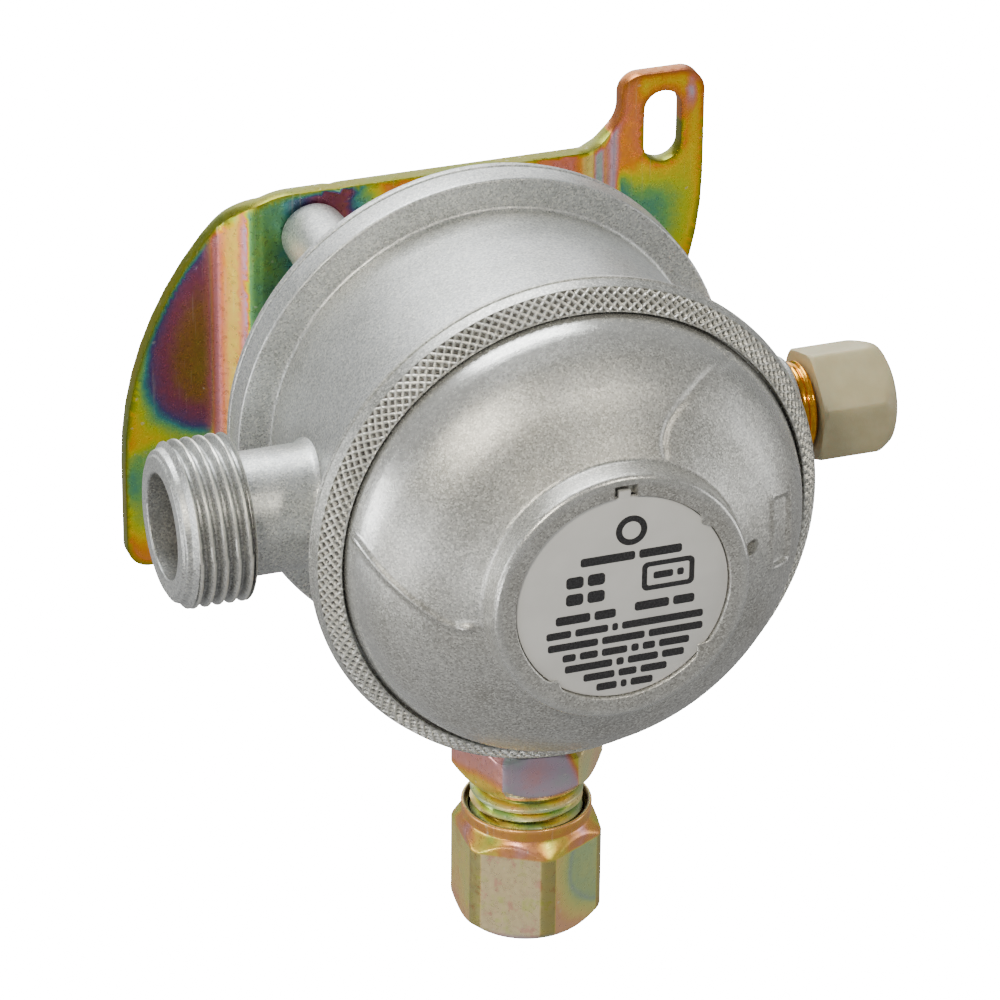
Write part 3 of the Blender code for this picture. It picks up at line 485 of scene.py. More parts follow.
def stake_marks(angle, r, h):
    """Three spots where the boss's inner edge is pressed over the label."""
    near = np.zeros(angle.shape)
    for x, z in STAKES:
        apart = np.angle(np.exp(1j * (angle - atan2(z, x))))
        near = np.maximum(near, lobe(apart, 0, 0.055))
    edge = smooth_step(14.3, 13.1, r) * smooth_step(BOSS_Y + 0.6, BOSS_Y + 0.1, h) * (r > 12.9)
    return r - 0.75 * near * edge, h + 0.30 * near * edge


def make_cover():
    """Front cover: the dome with its boss, and the spring tower's wall inside."""
    ledge = BOSS_Y + RECESS
    outside = rounded([
        (29.3, RIM_Y + 3.4, 0),
        (29.3, RIM_Y + 2.0, 0.3),
        (28.2, RIM_Y + 1.9, 0),
        (28.2, RIM_Y + 0.3, 3.0),
        (27.55, RIM_Y - 2.2, 8.0),
        (25.9, RIM_Y - 5.1, 11.0),
        (22.9, RIM_Y - 8.25, 14.0),
        (18.2, RIM_Y - 10.95, 14.0),
        (15.9, RIM_Y - 12.4, 0.9),
        (BOSS_R, BOSS_Y, 0.85),
        (13.0, BOSS_Y, 0.3),
        (13.0, ledge, 0),
    ], closed=False, step=6)
    inside = rounded([
        (13.0, ledge, 0),
        (11.0, ledge, 0),
        (11.0, RIM_Y - 9.4, 0),
        (18.0, RIM_Y - 9.4, 6.0),
        (25.6, RIM_Y - 2.0, 8.0),
        (26.6, RIM_Y + 3.4, 0),
        (29.3, RIM_Y + 3.4, 0),
    ], closed=False)
    line = dense(outside, 0.34)[:-1] + dense(inside, 2.5)[:-1]
    cover = turned("front_dome", line, 540, shape=stake_marks, relief=cover_relief)
    notch = box_object("notch", (-NOTCH_HALF, BOSS_Y - 1, LABEL_R - 1),
                       (NOTCH_HALF, ledge, NOTCH_R))
    boolean(cover, [notch], "DIFFERENCE")
    clean(cover)
    points = vertex_points(cover)
    r, y = np.hypot(points[:, 0], points[:, 2]), points[:, 1]
    # The dome's outer shoulder and the boss's edge get smoother paint and a painted sheen that lightens them
    edge = smooth_step(25.8, 27.4, r) + smooth_step(0.5, 0.1, y - BOSS_Y) * smooth_step(14.2, 15.0, r)
    store(cover, "smooth_and_painted_sheen", np.clip(edge, 0, 1))
    return cover


def make_label():
    """Blank metal plate with its locating tab."""
    start = atan2(sqrt(LABEL_R ** 2 - TAB_HALF ** 2), TAB_HALF)
    sweep = pi + 2 * start
    steps = 150
    turns = [start - sweep * i / steps for i in range(steps + 1)]
    edge = [(LABEL_R * cos(a), LABEL_R * sin(a)) for a in turns]
    tab = [(-TAB_HALF, TAB_R), (TAB_HALF, TAB_R)]
    plate = extruded("label_face", [edge + tab], LABEL_FACE, LABEL_FACE + LABEL_THICK)
    return edge_round(plate, 0.12, 2)


PRINT_RING = (0.9, 8.5, 1.9, 1.15)
PRINT_FRAME, FRAME_LINE = (2.3, 8.7, 0.3, 4.0), 0.62
PRINT_ROWS = [
    # height of the row's middle, bar height, start, then widths of its bars
    (5.25, 1.1, -5.2, (6.6, 5.2)),
    (2.85, 1.5, -6.9, (2.1, 2.1)), (0.65, 1.5, -6.9, (2.1, 2.1)),
    (2.15, 0.9, 3.7, (2.4, 0.8)), (-1.9, 1.15, -8.1, (4.2, 2.6)), (-1.55, 1.15, 1.5, (4.2, 2.6)),
    (-3.75, 0.95, -9.2, (3.0, 4.0, 0.7, 9.9)), (-5.35, 0.95, -9.0, (6.1, 5.2, 6.6)),
    (-6.9, 0.95, -7.2, (1.6, 2.2, 3.1, 0.9, 1.5, 3.7)), (-8.4, 0.95, -6.9, (5.8, 0.9, 3.7, 2.7)),
    (-9.9, 0.95, -4.6, (3.8, 2.2, 3.2)), (-11.4, 0.95, -3.0, (2.5, 0.7, 2.7)),
]


def make_print():
    """A plain ring, a plain frame and rows of plain bars where print would be."""
    x, z, outer, inner = PRINT_RING
    loops = [circle(x, z, outer), circle(x, z, inner)]
    left, right, low, high = PRINT_FRAME
    for inset, radius in ((0, 0.7), (FRAME_LINE, 0.3)):
        loops.append(rounded_box(left + inset, right - inset, low + inset, high - inset, radius))
    for middle, tall, left, widths in PRINT_ROWS:
        low, high = middle - tall / 2, middle + tall / 2
        for width in widths:
            loops.append(rounded_box(left, left + width, low, high, tall * 0.3))
            left = left + width + 0.5
    return extruded("label_bars", loops, LABEL_FACE - 0.03, LABEL_FACE + 0.02)


def edge_round(obj, width, segments, angle=50.0):
    """Rounds every edge sharper than an angle."""
    bevel = obj.modifiers.new("round", "BEVEL")
    bevel.width = width * MM
    bevel.segments = segments
    bevel.limit_method = "ANGLE"
    bevel.angle_limit = radians(angle)
    bevel.harden_normals = False
    evaluated(obj)
    return clean(obj, 30.0)


# ---- Rear cover ----------------------------------------------------------------------------

def make_rear_cover():
    """Rear cover with its spring tower and four posts."""
    cover = turned("rear_dome", dense(rounded([
        (9.2, -9.2, 0.5), (9.5, -16.8, 0), (10.6, -17.8, 1.0), (20.5, -17.8, 2.0), (23.2, -18.9, 2.0),
        (26.4, COVER_END_Y, 0.8), (FLANGE_R, COVER_END_Y, 0.35), (FLANGE_R, SEAM_Y + 0.12, 0.2),
        (29.4, SEAM_Y + 0.12, 0), (29.4, -26.4, 0), (24.5, -26.4, 0), (24.5, -24.2, 0),
        (21.6, -20.6, 0.8), (20.0, -19.8, 0), (7.2, -19.8, 0.3), (7.2, -9.2, 0.3),
    ]), 2.5, closed=True), 216)
    posts = []
    for x in (-POST_X, POST_X):
        for z in (-POST_Z, POST_Z):
            posts.append(turned("post", dense(rounded([
                (0, -19.4, 0), (5.6, -19.4, 0), (4.6, -17.0, 1.2), (POST_R, POST_END, 0.45),
                (1.9, POST_END, 0.2), (1.9, -17.0, 0), (0, -17.0, 0),
            ], closed=False), 2.0), 64, "Y", (x, 0, z), ring=False))
    boolean(cover, posts, "UNION")
    return clean(cover)


# ---- Bracket -------------------------------------------------------------------------------

EAR_X, EAR_Z, PANEL_Z, EAR_INNER_X, SCREW_HOLE_R = 38.1, 29.1, 21.2, 27.0, 2.3
FINE_EDGE, FULL_FILM = 1.25, 1.25


def bracket_outline():
    half = [
        (EAR_INNER_X, PANEL_Z, 4.0),
        (EAR_INNER_X, EAR_Z, 2.6),
        (EAR_X, EAR_Z, 3.0),
        (EAR_X, -4.4, 46.0),
        (21.3, -PANEL_Z, 10.0),
    ]
    return rounded(half + [(-x, -z, r) for x, z, r in half], step=5)


def slot_loop(x, z):
    r, reach = SLOT_W / 2, SLOT_L / 2
    return rounded_box(x - r, x + r, z - reach, z + reach, r * 0.99, step=8)


def circle(x, z, radius, sides=48):
    turns = [2 * pi * i / sides for i in range(sides)]
    return [(x + radius * cos(a), z + radius * sin(a)) for a in turns]


def bracket_section():
    """Middle line of the bent sheet in X and Y, from its left end to its right end."""
    middle = -JOGGLE - SHEET / 2
    slope = atan2(JOGGLE, BEND_RUN)
    reach = BEND_R * tan(slope / 2)
    steps = 8
    turns = [slope * i / steps for i in range(steps + 1)]
    arc = [(BEND_R * sin(a), BEND_R * (1 - cos(a))) for a in turns]
    inner_x, outer_x = PANEL_HALF - reach, PANEL_HALF + BEND_RUN + reach
    wing = middle + JOGGLE
    right = [(inner_x + along, middle + up) for along, up in arc]
    right += [(outer_x - along, wing - up) for along, up in arc[::-1]]
    right.append((EAR_X + 2, wing))
    return [(-x, y) for x, y in right[::-1]] + right


def refine(obj, longest):
    """Divides a mesh's long edges, so that it has points to carry colours."""
    bm = bmesh.new()
    bm.from_mesh(obj.data)
    bmesh.ops.triangulate(bm, faces=bm.faces)
    for _ in range(8):
        long_edges = [e for e in bm.edges if e.calc_length() > longest * MM]
        if not long_edges:
            break
        bmesh.ops.subdivide_edges(bm, edges=long_edges, cuts=1)
        bmesh.ops.triangulate(bm, faces=[f for f in bm.faces if len(f.verts) > 3])
    bm.to_mesh(obj.data)
    bm.free()
    obj.data.set_sharp_from_angle(angle=radians(30))
    return obj


def loop_distance(x, z, loop):
    """Distance from points to a closed loop."""
    return np.abs(line_distance(x, z, loop + loop[:1]))


def bracket_film(x, y, z):
    """Film's thickness, painted shade up to 1 with painted highlight and rubbed wear down to -1, and its rose
    bloom.
    """
    edge, slot = loop_distance(x, z, bracket_outline()), np.full(x.shape, 1e9)
    for side in (1, -1):
        slot = np.minimum(slot, loop_distance(x, z, slot_loop(side * SLOT_X, side * SLOT_Z)))
    points = np.stack([x, y * 3, z], axis=-1)
    cloud, small = field(points, 9.0, 1), field(points, 2.2, 2)

    # Left wing: a brown heart with rings of colour round it, and a yellow and green part below
    reach = np.where(z > -2.5, 23.0, 11.0)
    ring = np.hypot((x + 26.5) / 11.2, (z + 2.5) / reach) + 0.03 * small
    left = np.interp(ring, [0, 0.40, 0.52, 0.68, 0.78, 0.85, 0.92, 1.0, 1.06, 1.3],
                     [0.02, 0.10, 0.17, 0.25, 0.38, 0.50, 0.58, 0.64, 0.68, 0.72])
    left += 0.24 * np.exp(-edge / 0.45)
    lower = 0.54 + 0.13 * cloud + 0.16 * np.exp(-edge / 0.7)
    lower += 0.24 * smooth_step(-22.0, -27.0, z) - 0.20 * spot(x, z, (-38, -17.5), (2.4, 3))
    left = left + (lower - left) * smooth_step(-11.6, -13.6, z + small)

    # Right wing: thick at its edges, left of and round the slot, thin below it
    rubbed = spot(x, z, (36.3, 26.0), (0.5, 2.0))
    right = 0.66 + 0.05 * cloud + 0.26 * np.exp(-edge / 0.6) + 0.20 * lobe(slot, 0, 1.0)
    right += 0.17 * smooth_step(30.4, 28.6, x) * smooth_step(14.5, 17.5, z)
    right -= 0.22 * np.exp(-((x - 31.0) / 4.2) ** 2 - ((z - 9.6) / 4.4) ** 4)
    right += 0.45 * rubbed - 0.20 * lobe(x, 26.8, 1.7) * smooth_step(17.0, 14.5, z)

    # Flat panel between the bends
    panel = 0.08 * cloud + np.interp(
        x + 1.5 * small, [-21, -19.0, -16.5, -13.5, -10.0, -5, 4, 12, 19, 21],
        [0.50, 0.46, 0.34, 0.16, 0.12, 0.84, 0.66, 0.75, 0.93, 0.80])

    # Bends, stretched, and given a painted highlight further down
    u = (np.abs(x) - PANEL_HALF) / BEND_RUN
    stripe_left = np.interp(u + 0.05 * cloud, [0.28, 0.36, 0.46, 0.58, 0.80, 0.92, 1.05, 1.25],
                            [0.46, 1.14, 0.94, 0.72, 0.74, 0.86, 0.98, 1.05])
    stripe_left += 0.35 * smooth_step(16.0, 20.0, z) * np.sin(z * 1.9 + u * 3) * (1 + small)
    stripe_right = np.interp(u + 0.05 * cloud, [-0.2, 0.05, 0.25, 0.42, 0.60, 0.75, 0.95, 1.15],
                             [0.76, 0.70, 0.72, 1.20, 1.22, 0.82, 1.02, 1.12])
    film = np.where(x < 0, left, right)
    stripe = np.where(x < 0, stripe_left, stripe_right)
    start = np.where(x < 0, 0.30, -0.12)
    on_bend = smooth_step(1.35, 1.12, u) * smooth_step(start - 0.1, start + 0.08, u)
    film = np.where(u < 0.3, panel, film)
    film = film + (stripe - film) * on_bend

    # Cut edges
    wall = (edge < 0.12) | (slot < 0.12)
    film = np.where(wall, np.where(z > 22, 0.84, 0.62) + 0.06 * cloud, film)

    # Painted shade: in the left wing's heart, beside the posts and on the cut edges, less on the right ear's
    # upper edges
    painted_light_and_wear = 0.24 * (x < 0) * smooth_step(0.85, 0.55, ring) * (z > -13) * (u > 0.9)
    painted_light_and_wear = np.maximum(painted_light_and_wear, 0.50 * smooth_step(0.35, 0.2, u) * smooth_step(-8.0, -12.0, x))
    painted_light_and_wear = np.where(wall, np.where(z > 22, 0.6, 1.0), painted_light_and_wear)
    rose = 0.85 * lobe(u, 1.24, 0.16) * (x < 0) * smooth_step(-12.5, -10.5, z) * ~wall
    # Painted highlight along the bends, and the rubbed spot on the right ear made lighter too
    bright = on_bend * np.where(x < 0, 0.25, 0.5) * (0.75 + 0.5 * cloud) + 0.6 * rubbed
    return np.clip(film, 0.0, FULL_FILM), np.clip(painted_light_and_wear - np.where(wall, 0, bright), -1.0, 1.0), rose


def make_bracket():
    """Bracket cut and bent from one sheet."""
    tall = EAR_Z + 3
    bm = bmesh.new()
    low = [bm.verts.new((x * MM, y * MM, -tall * MM)) for x, y in bracket_section()]
    edges = [bm.edges.new(pair) for pair in zip(low, low[1:])]
    made = bmesh.ops.extrude_edge_only(bm, edges=edges)
    raised = [v for v in made["geom"] if isinstance(v, bmesh.types.BMVert)]
    bmesh.ops.translate(bm, vec=(0, 0, 2 * tall * MM), verts=raised)
    bmesh.ops.recalc_face_normals(bm, faces=bm.faces)
    plate = bmesh_object("bracket_plate", bm)
    thick = plate.modifiers.new("sheet", "SOLIDIFY")
    thick.thickness = SHEET * MM
    thick.offset = 0.0
    thick.use_even_offset = True
    evaluated(plate)
    holes = [circle(x - BRACKET_X, z, SCREW_HOLE_R)
             for x in (-POST_X, POST_X) for z in (-POST_Z, POST_Z)]
    slots = [slot_loop(SLOT_X, SLOT_Z), slot_loop(-SLOT_X, -SLOT_Z)]
    blank = extruded("blank", [bracket_outline(), *holes, *slots], -12.0, 8.0)
    boolean(plate, [blank], "INTERSECT")
    edge_round(clean(plate), 0.22, 2)
    refine(plate, FINE_EDGE)
    points = vertex_points(plate)
    for name, values in zip(("film", "painted_light_and_wear", "rose"), bracket_film(*points.T)):
        store(plate, name, values)
    # A shallow nick in the top edge, where the blank was marked for bending
    nick = lobe(points[:, 0], -11.5, 0.35) * smooth_step(PANEL_Z - 0.5, PANEL_Z, points[:, 2])
    points[:, 2] -= 0.3 * nick
    points[:, 0] += BRACKET_X
    move_vertices(plate, points)
    return plate


def make_screw(number, x, z):
    """Pan-head thread-forming screw with a cross recess."""
    head = -JOGGLE + 0.3
    screw = turned("panel_screw_%d" % number, rounded([
        (0, head + 1.9, 0), (1.9, head + 1.9, 0.8), (3.25, head + 1.0, 0.5), (3.3, head, 0.15), (1.6, head, 0),
        *[(1.6 if i % 2 else 1.35, head - 2.2 - 0.45 * i, 0) for i in range(22)],
        (0.8, -16.6, 0.2), (0, -16.6, 0),
    ], closed=False, step=20), 40, "Y", (x, 0, z), ring=False)
    arms = [box_object("arm", (x - a, head + 0.9, z - b), (x + a, head + 3, z + b))
            for a, b in ((1.45, 0.3), (0.3, 1.45))]
    boolean(screw, arms, "DIFFERENCE")
    return clean(screw)


# ---- Fittings ------------------------------------------------------------------------------

def hexagon(across, turn, round_off, from_r):
    """A shape for turned bodies that flattens them into a hexagon outside a radius."""
    def shape(angle, r, h):
        folded = np.mod(angle - radians(turn) + pi / 6, pi / 3) - pi / 6
        flat = across / 2 / np.cos(folded)
        return np.where(r > from_r, np.maximum(soft_min(r, flat, round_off), from_r), r), h
    return shape


def spigot_thread(angle, r, h, facing):
    """Helical M14 x 1.5 thread on the outlet spigot."""
    depth = 0.75
    phase = np.abs(np.mod(h / THREAD_PITCH - angle / (2 * pi), 1.0) - 0.5) * 2
    along = smooth_step(HEX_END - 2.0, HEX_END - 2.5, h)
    along = along * smooth_step(SPIGOT_END + 0.2, SPIGOT_END + 1.2, h)
    cut = smooth_step(0.95, 0.25, phase) * along * (r > SPIGOT_R - 0.05) * (h < HEX_END - 1)
    return -depth * cut


def outlet_facets(points, turn):
    """Points about the outlet's axis, the facet that each is on and how far it is from its middle."""
    x, y, z = points[:, 0], points[:, 1] - OUTLET_Y, points[:, 2]
    around = np.degrees(np.arctan2(y, x) - radians(turn)) / 60
    return x, y, z, np.round(around).astype(int) % 6, np.abs(around - np.round(around))


def make_nipple():
    line = rounded([
        (3.2, -25.0, 0), (5.8, -25.0, 0), (6.5, -25.7, 0), (6.5, HEX_TOP, 0),
        (8.6, HEX_TOP, 0), (HEX_R, HEX_TOP - 0.6, 0), (HEX_R, HEX_END + 2.3, 0),
        (7.3, HEX_END, 0.3), (6.2, HEX_END - 0.1, 0), (6.1, HEX_END - 1.0, 0.2),
        (SPIGOT_R, HEX_END - 1.6, 0.1), (SPIGOT_R, SPIGOT_END + 0.9, 0), (SPIGOT_R - 0.8, SPIGOT_END, 0),
        (5.3, SPIGOT_END, 0), (4.2, SPIGOT_END + 2.0, 0), (4.2, -46.9, 0), (3.2, -46.6, 0),
    ], step=25)
    nipple = turned("pipe_nipple", dense(line, 0.3, closed=True), 240, "Z", (0, OUTLET_Y, 0),
                    shape=hexagon(HEX_AF, HEX_TURN, 0.25, 7.05), relief=spigot_thread, sharp=30)
    points = vertex_points(nipple)
    x, y, z, facet, _ = outlet_facets(points, HEX_TURN)
    cloud = field(points, 4.0, 5)
    film = np.array([0.60, 0.72, 0.72, 0.60, 0.66, 0.95])[facet] + 0.16 * cloud
    front = 1.12 + 0.14 * cloud - 0.45 * smooth_step(2.6, 4.2, x + 0.45 * (z + 37))
    front -= 0.4 * smooth_step(-39.6, -40.6, z)
    side = np.interp(z + 0.7 * cloud, [-40.5, -38.6, -37.4, -34], [0.66, 0.74, 0.96, 1.0])
    film = np.where(facet == 0, front, np.where(facet == 5, side, film))
    spigot = z < HEX_END - 0.3
    film = np.where(spigot, 0.62 + 0.10 * np.sin(x * 0.9 + z * 2.1), film)
    store(nipple, "film", np.clip(film, 0, FULL_FILM))
    # Painted shade in the spigot thread's valleys, painted highlight on its crests and over one facet
    crest = smooth_step(6.1, 6.8, np.hypot(x, y))
    store(nipple, "painted_light_and_wear", np.where(spigot, 0.75 - 1.4 * crest, np.where(facet == 1, -0.7, 0.0)))
    return nipple


def make_nut():
    line = rounded([
        (7.6, NUT_TOP, 0.1), (8.07, NUT_TOP, 0.22), (8.0, NUT_TOP - 0.9, 0.3),
        (7.95, NUT_TOP - 1.6, 0.3), (HEX_R, NUT_TOP - 3.5, 0.2), (HEX_R, NUT_END + 1.6, 0.5),
        (7.6, NUT_END, 0.5),
        (4.5, NUT_END, 0.2), (4.3, -58.5, 0), (7.2, -55.6, 0), (7.2, NUT_TOP - 0.7, 0),
    ], step=25)
    nut = turned("pipe_nut", dense(line, 0.35, closed=True), 240, "Z", (0, OUTLET_Y, 0),
                 shape=hexagon(HEX_AF, NUT_TURN, 0.18, 8.1), sharp=30)
    points = vertex_points(nut)
    x, y, z, facet, from_middle = outlet_facets(points, NUT_TURN)
    r = np.hypot(x, y)
    cloud, small = field(points, 3.4, 8), field(points, 1.3, 9)
    film = np.array([0.80, 0.56, 0.68, 0.74, 0.66, 0.66])[facet] + 0.14 * cloud
    film += 0.25 * smooth_step(-55.5, -59.5, z)
    # On the right-hand facet a pale green field fades to gold at its upper left and to rose below
    arc = np.hypot(x - 8.5, z + 51.5) + 0.8 * cloud
    pale_field = np.interp(arc, [0, 3, 5.2, 5.7, 6.2, 9], [0.56, 0.54, 0.52, 0.44, 0.58, 0.84])
    film = np.where(facet == 1, pale_field, film)
    cone = z > NUT_TOP - 3.6
    film = np.where(cone, 0.80 + 0.14 * np.sin(np.arctan2(y, x) * 6 + 1.0) + 0.12 * small, film)
    corner_band = (from_middle > 0.40) & ~cone
    film = np.where(corner_band, 0.60 + 0.1 * small, film)
    film = np.where(z > NUT_TOP - 1.5, 0.80 + 0.06 * small, film)
    film = np.where(r < 7.7, 0.10 + 0.1 * small, film)
    store(nut, "film", np.clip(film, 0, FULL_FILM))
    # Painted shade on the corner bands, the cone, under the top lip and inside the bore; painted highlight on
    # two facets and the lip's top edge
    painted_light_and_wear = np.where(corner_band, 0.55, np.where(cone, 0.10, np.where(facet < 2, -0.40, 0.0)))
    painted_light_and_wear = np.where(z > NUT_TOP - 1.5, 0.25 - 0.5 * smooth_step(NUT_TOP - 0.5, NUT_TOP, z), painted_light_and_wear)
    store(nut, "painted_light_and_wear", np.where(r < 7.7, 1.0, painted_light_and_wear))
    straw = np.where(corner_band, 0.75, (facet == 0) + 0.55 * (facet == 5)) * ~cone
    store(nut, "straw", straw * smooth_step(-59.9, -59.0, z))
    return nut


def make_seal():
    line = [(8.35, -33.72, 0.15), (8.35, -34.08, 0.15), (7.05, -34.08, 0.15), (7.05, -33.72, 0.15)]
    return turned("seal_washer", rounded(line), 96, "Z", (0, OUTLET_Y, 0))


def make_test_nipple():
    line = rounded([
        (5.45, 37.3, 0.3), (5.6, 36.9, 0.2), (5.2, 36.5, 0.2), (5.6, 36.1, 0.2), (5.6, 35.5, 0.3),
        (4.7, 35.5, 0), (4.7, 29.2, 0.2), (4.2, 28.7, 0), (1.1, 28.7, 0.2), (1.1, 43.3, 0.3),
        (3.6, 43.3, 0.2), (4.1, 42.7, 0.2), (4.1, 37.3, 0),
    ], step=20)
    return turned("brass_test_nipple", line, 128, "X", (0, TEST_Y, 0))


def make_cap():
    corner = CAP_AF / 2 / cos(pi / 6)
    line = dense(rounded([
        (0, 45.6, 0), (4.4, 45.6, 0.2), (4.4, CAP_START, 0.15), (7.0, CAP_START, 0.25),
        (corner, CAP_START + 0.4, 0.2), (corner, CAP_END - 2.4, 1.2), (6.25, CAP_END - 0.5, 0.6), (5.3, CAP_END, 0.5), (0, CAP_END, 0),
    ], closed=False, step=10), 0.5)
    return turned("test_point_cap", line, 192, "X", (0, TEST_Y, 0), ring=False,
                  shape=hexagon(CAP_AF, 11.9, 0.6, 4.6))


# ---- Materials -----------------------------------------------------------------------------

def tone(r, g, b):
    """A display colour as the linear values that shaders take."""
    return tuple(((v + 0.055) / 1.055) ** 2.4 if v > 0.04 else v / 12.92 for v in (r, g, b)) + (1.0,)


class Look:
    """One material, built up from nodes. Sizes are in millimetres."""

    def __init__(self, name, roughness=0.4, metallic=0.0):
        self.material = bpy.data.materials.new(name)
        self.material.use_nodes = True
        self.tree = self.material.node_tree
        self.shader = self.tree.nodes["Principled BSDF"]
        self.place = self.new("TexCoord").outputs["Object"]
        self.set("Roughness", roughness)
        self.set("Metallic", metallic)

    def new(self, kind):
        return self.tree.nodes.new("ShaderNode" + kind)

    def set(self, socket, value, node=None):
        target = (node or self.shader).inputs[socket]
        if isinstance(value, bpy.types.NodeSocket):
            self.tree.links.new(value, target)
        else:
            target.default_value = value

    def noise(self, size, detail=2.0, rough=0.5, stretch=(1, 1, 1)):
        scaled = self.new("VectorMath")
        scaled.operation = "MULTIPLY"
        self.set(0, self.place, scaled)
        self.set(1, tuple(s / (size * MM) for s in stretch), scaled)
        node = self.new("TexNoise")
        self.set("Vector", scaled.outputs[0], node)
        self.set("Scale", 1.0, node)
        self.set("Detail", detail, node)
        self.set("Roughness", rough, node)
        return node.outputs["Fac"]

    def specks(self, size):
        """A different random value in each small cell."""
        node = self.new("TexVoronoi")
        self.set("Vector", self.place, node)
        self.set("Scale", 1 / (size * MM), node)
        apart = self.new("SeparateColor")
        self.set(0, node.outputs["Color"], apart)
        return apart.outputs[0]

    def attribute(self, name):
        node = self.new("Attribute")
        node.attribute_name = name
        return node.outputs["Fac"]

    def calc(self, operation, a, b=0.0, clamp=False):
        node = self.new("Math")
        node.operation = operation
        node.use_clamp = clamp
        self.set(0, a, node)
        self.set(1, b, node)
        return node.outputs[0]

    def span(self, value, low, high, out_low=0.0, out_high=1.0):
        node = self.new("MapRange")
        for socket, number in zip(("Value", "From Min", "From Max", "To Min", "To Max"),
                                  (value, low, high, out_low, out_high)):
            self.set(socket, number, node)
        return node.outputs["Result"]

    def ramp(self, value, stops):
        node = self.new("ValToRGB")
        ramp = node.color_ramp
        while len(ramp.elements) < len(stops):
            ramp.elements.new(1.0)
        for element, (place, colour) in zip(ramp.elements, stops):
            element.position = place
            element.color = colour
        self.set("Fac", value, node)
        return node.outputs["Color"]

    def mix(self, share, a, b, blend="MIX"):
        node = self.new("Mix")
        node.data_type = "RGBA"
        node.blend_type = blend
        self.set(0, share, node)
        self.set(6, a, node)
        self.set(7, b, node)
        return node.outputs[2]

    def roughen(self, size, detail, low, high):
        """Roughness that wanders between two values."""
        self.set("Roughness", self.span(self.noise(size, detail), 0.3, 0.7, low, high))

    def bump(self, height, depth, below=None):
        node = self.new("Bump")
        self.set("Height", height, node)
        self.set("Distance", depth * MM, node)
        self.set("Strength", 1.0, node)
        if below is not None:
            self.set("Normal", below, node)
        self.set("Normal", node.outputs["Normal"])
        return node.outputs["Normal"]


def cast_paint(name, light, dark):
    """Silver paint with metal flake over a casting, with painted shade in pits and painted highlight on
    crests.
    """
    look = Look(name, metallic=0.68)
    grain = look.noise(0.16, 3, 0.65)
    flake = look.specks(0.19)
    pit_and_painted_light, smooth_and_painted_sheen = look.attribute("pit_and_painted_light"), look.attribute("smooth_and_painted_sheen")
    colour = look.mix(look.span(look.noise(6.0, 3), 0.3, 0.7), tone(*dark), tone(*light))
    colour = look.mix(look.span(flake, 0.60, 1.0, 0.0, 0.65), colour, tone(0.97, 0.97, 0.94))
    colour = look.mix(look.span(flake, 0.40, 0.0, 0.0, 0.42), colour, tone(0.40, 0.40, 0.385))
    # Painted sheen lightens the smoother places
    colour = look.mix(look.calc("MULTIPLY", smooth_and_painted_sheen, 0.30), colour, tone(0.86, 0.87, 0.87))
    # Painted shade where the attribute is above zero, painted highlight where it is below zero
    colour = look.mix(look.span(pit_and_painted_light, 0.0, 1.0, 0.0, 0.85), colour, tone(0.24, 0.235, 0.215))
    colour = look.mix(look.span(pit_and_painted_light, -0.05, -0.7, 0.0, 0.75), colour, tone(0.96, 0.95, 0.90))
    look.set("Base Color", colour)
    rough = look.span(look.noise(0.4, 2), 0.3, 0.7, 0.28, 0.37)
    look.set("Roughness", look.calc("SUBTRACT", rough, look.calc("MULTIPLY", smooth_and_painted_sheen, 0.08)))
    below = look.bump(look.noise(1.3, 2), 0.02)
    look.bump(look.calc("MULTIPLY", grain, look.span(smooth_and_painted_sheen, 0, 1, 1.0, 0.3)), 0.035, below)
    return look.material


FILM = [
    # Share of the film's full thickness, and the interference colour that it shows
    (0.00, (0.60, 0.54, 0.18)), (0.07, (0.64, 0.45, 0.22)), (0.15, (0.62, 0.32, 0.42)),
    (0.25, (0.34, 0.32, 0.54)), (0.33, (0.28, 0.60, 0.60)), (0.41, (0.50, 0.76, 0.42)),
    (0.49, (0.80, 0.86, 0.14)), (0.56, (0.97, 0.84, 0.02)), (0.64, (0.98, 0.62, 0.06)),
    (0.72, (0.94, 0.52, 0.38)), (0.80, (0.92, 0.58, 0.64)), (0.90, (0.76, 0.68, 0.82)),
    (1.00, (0.60, 0.80, 0.78)),
]


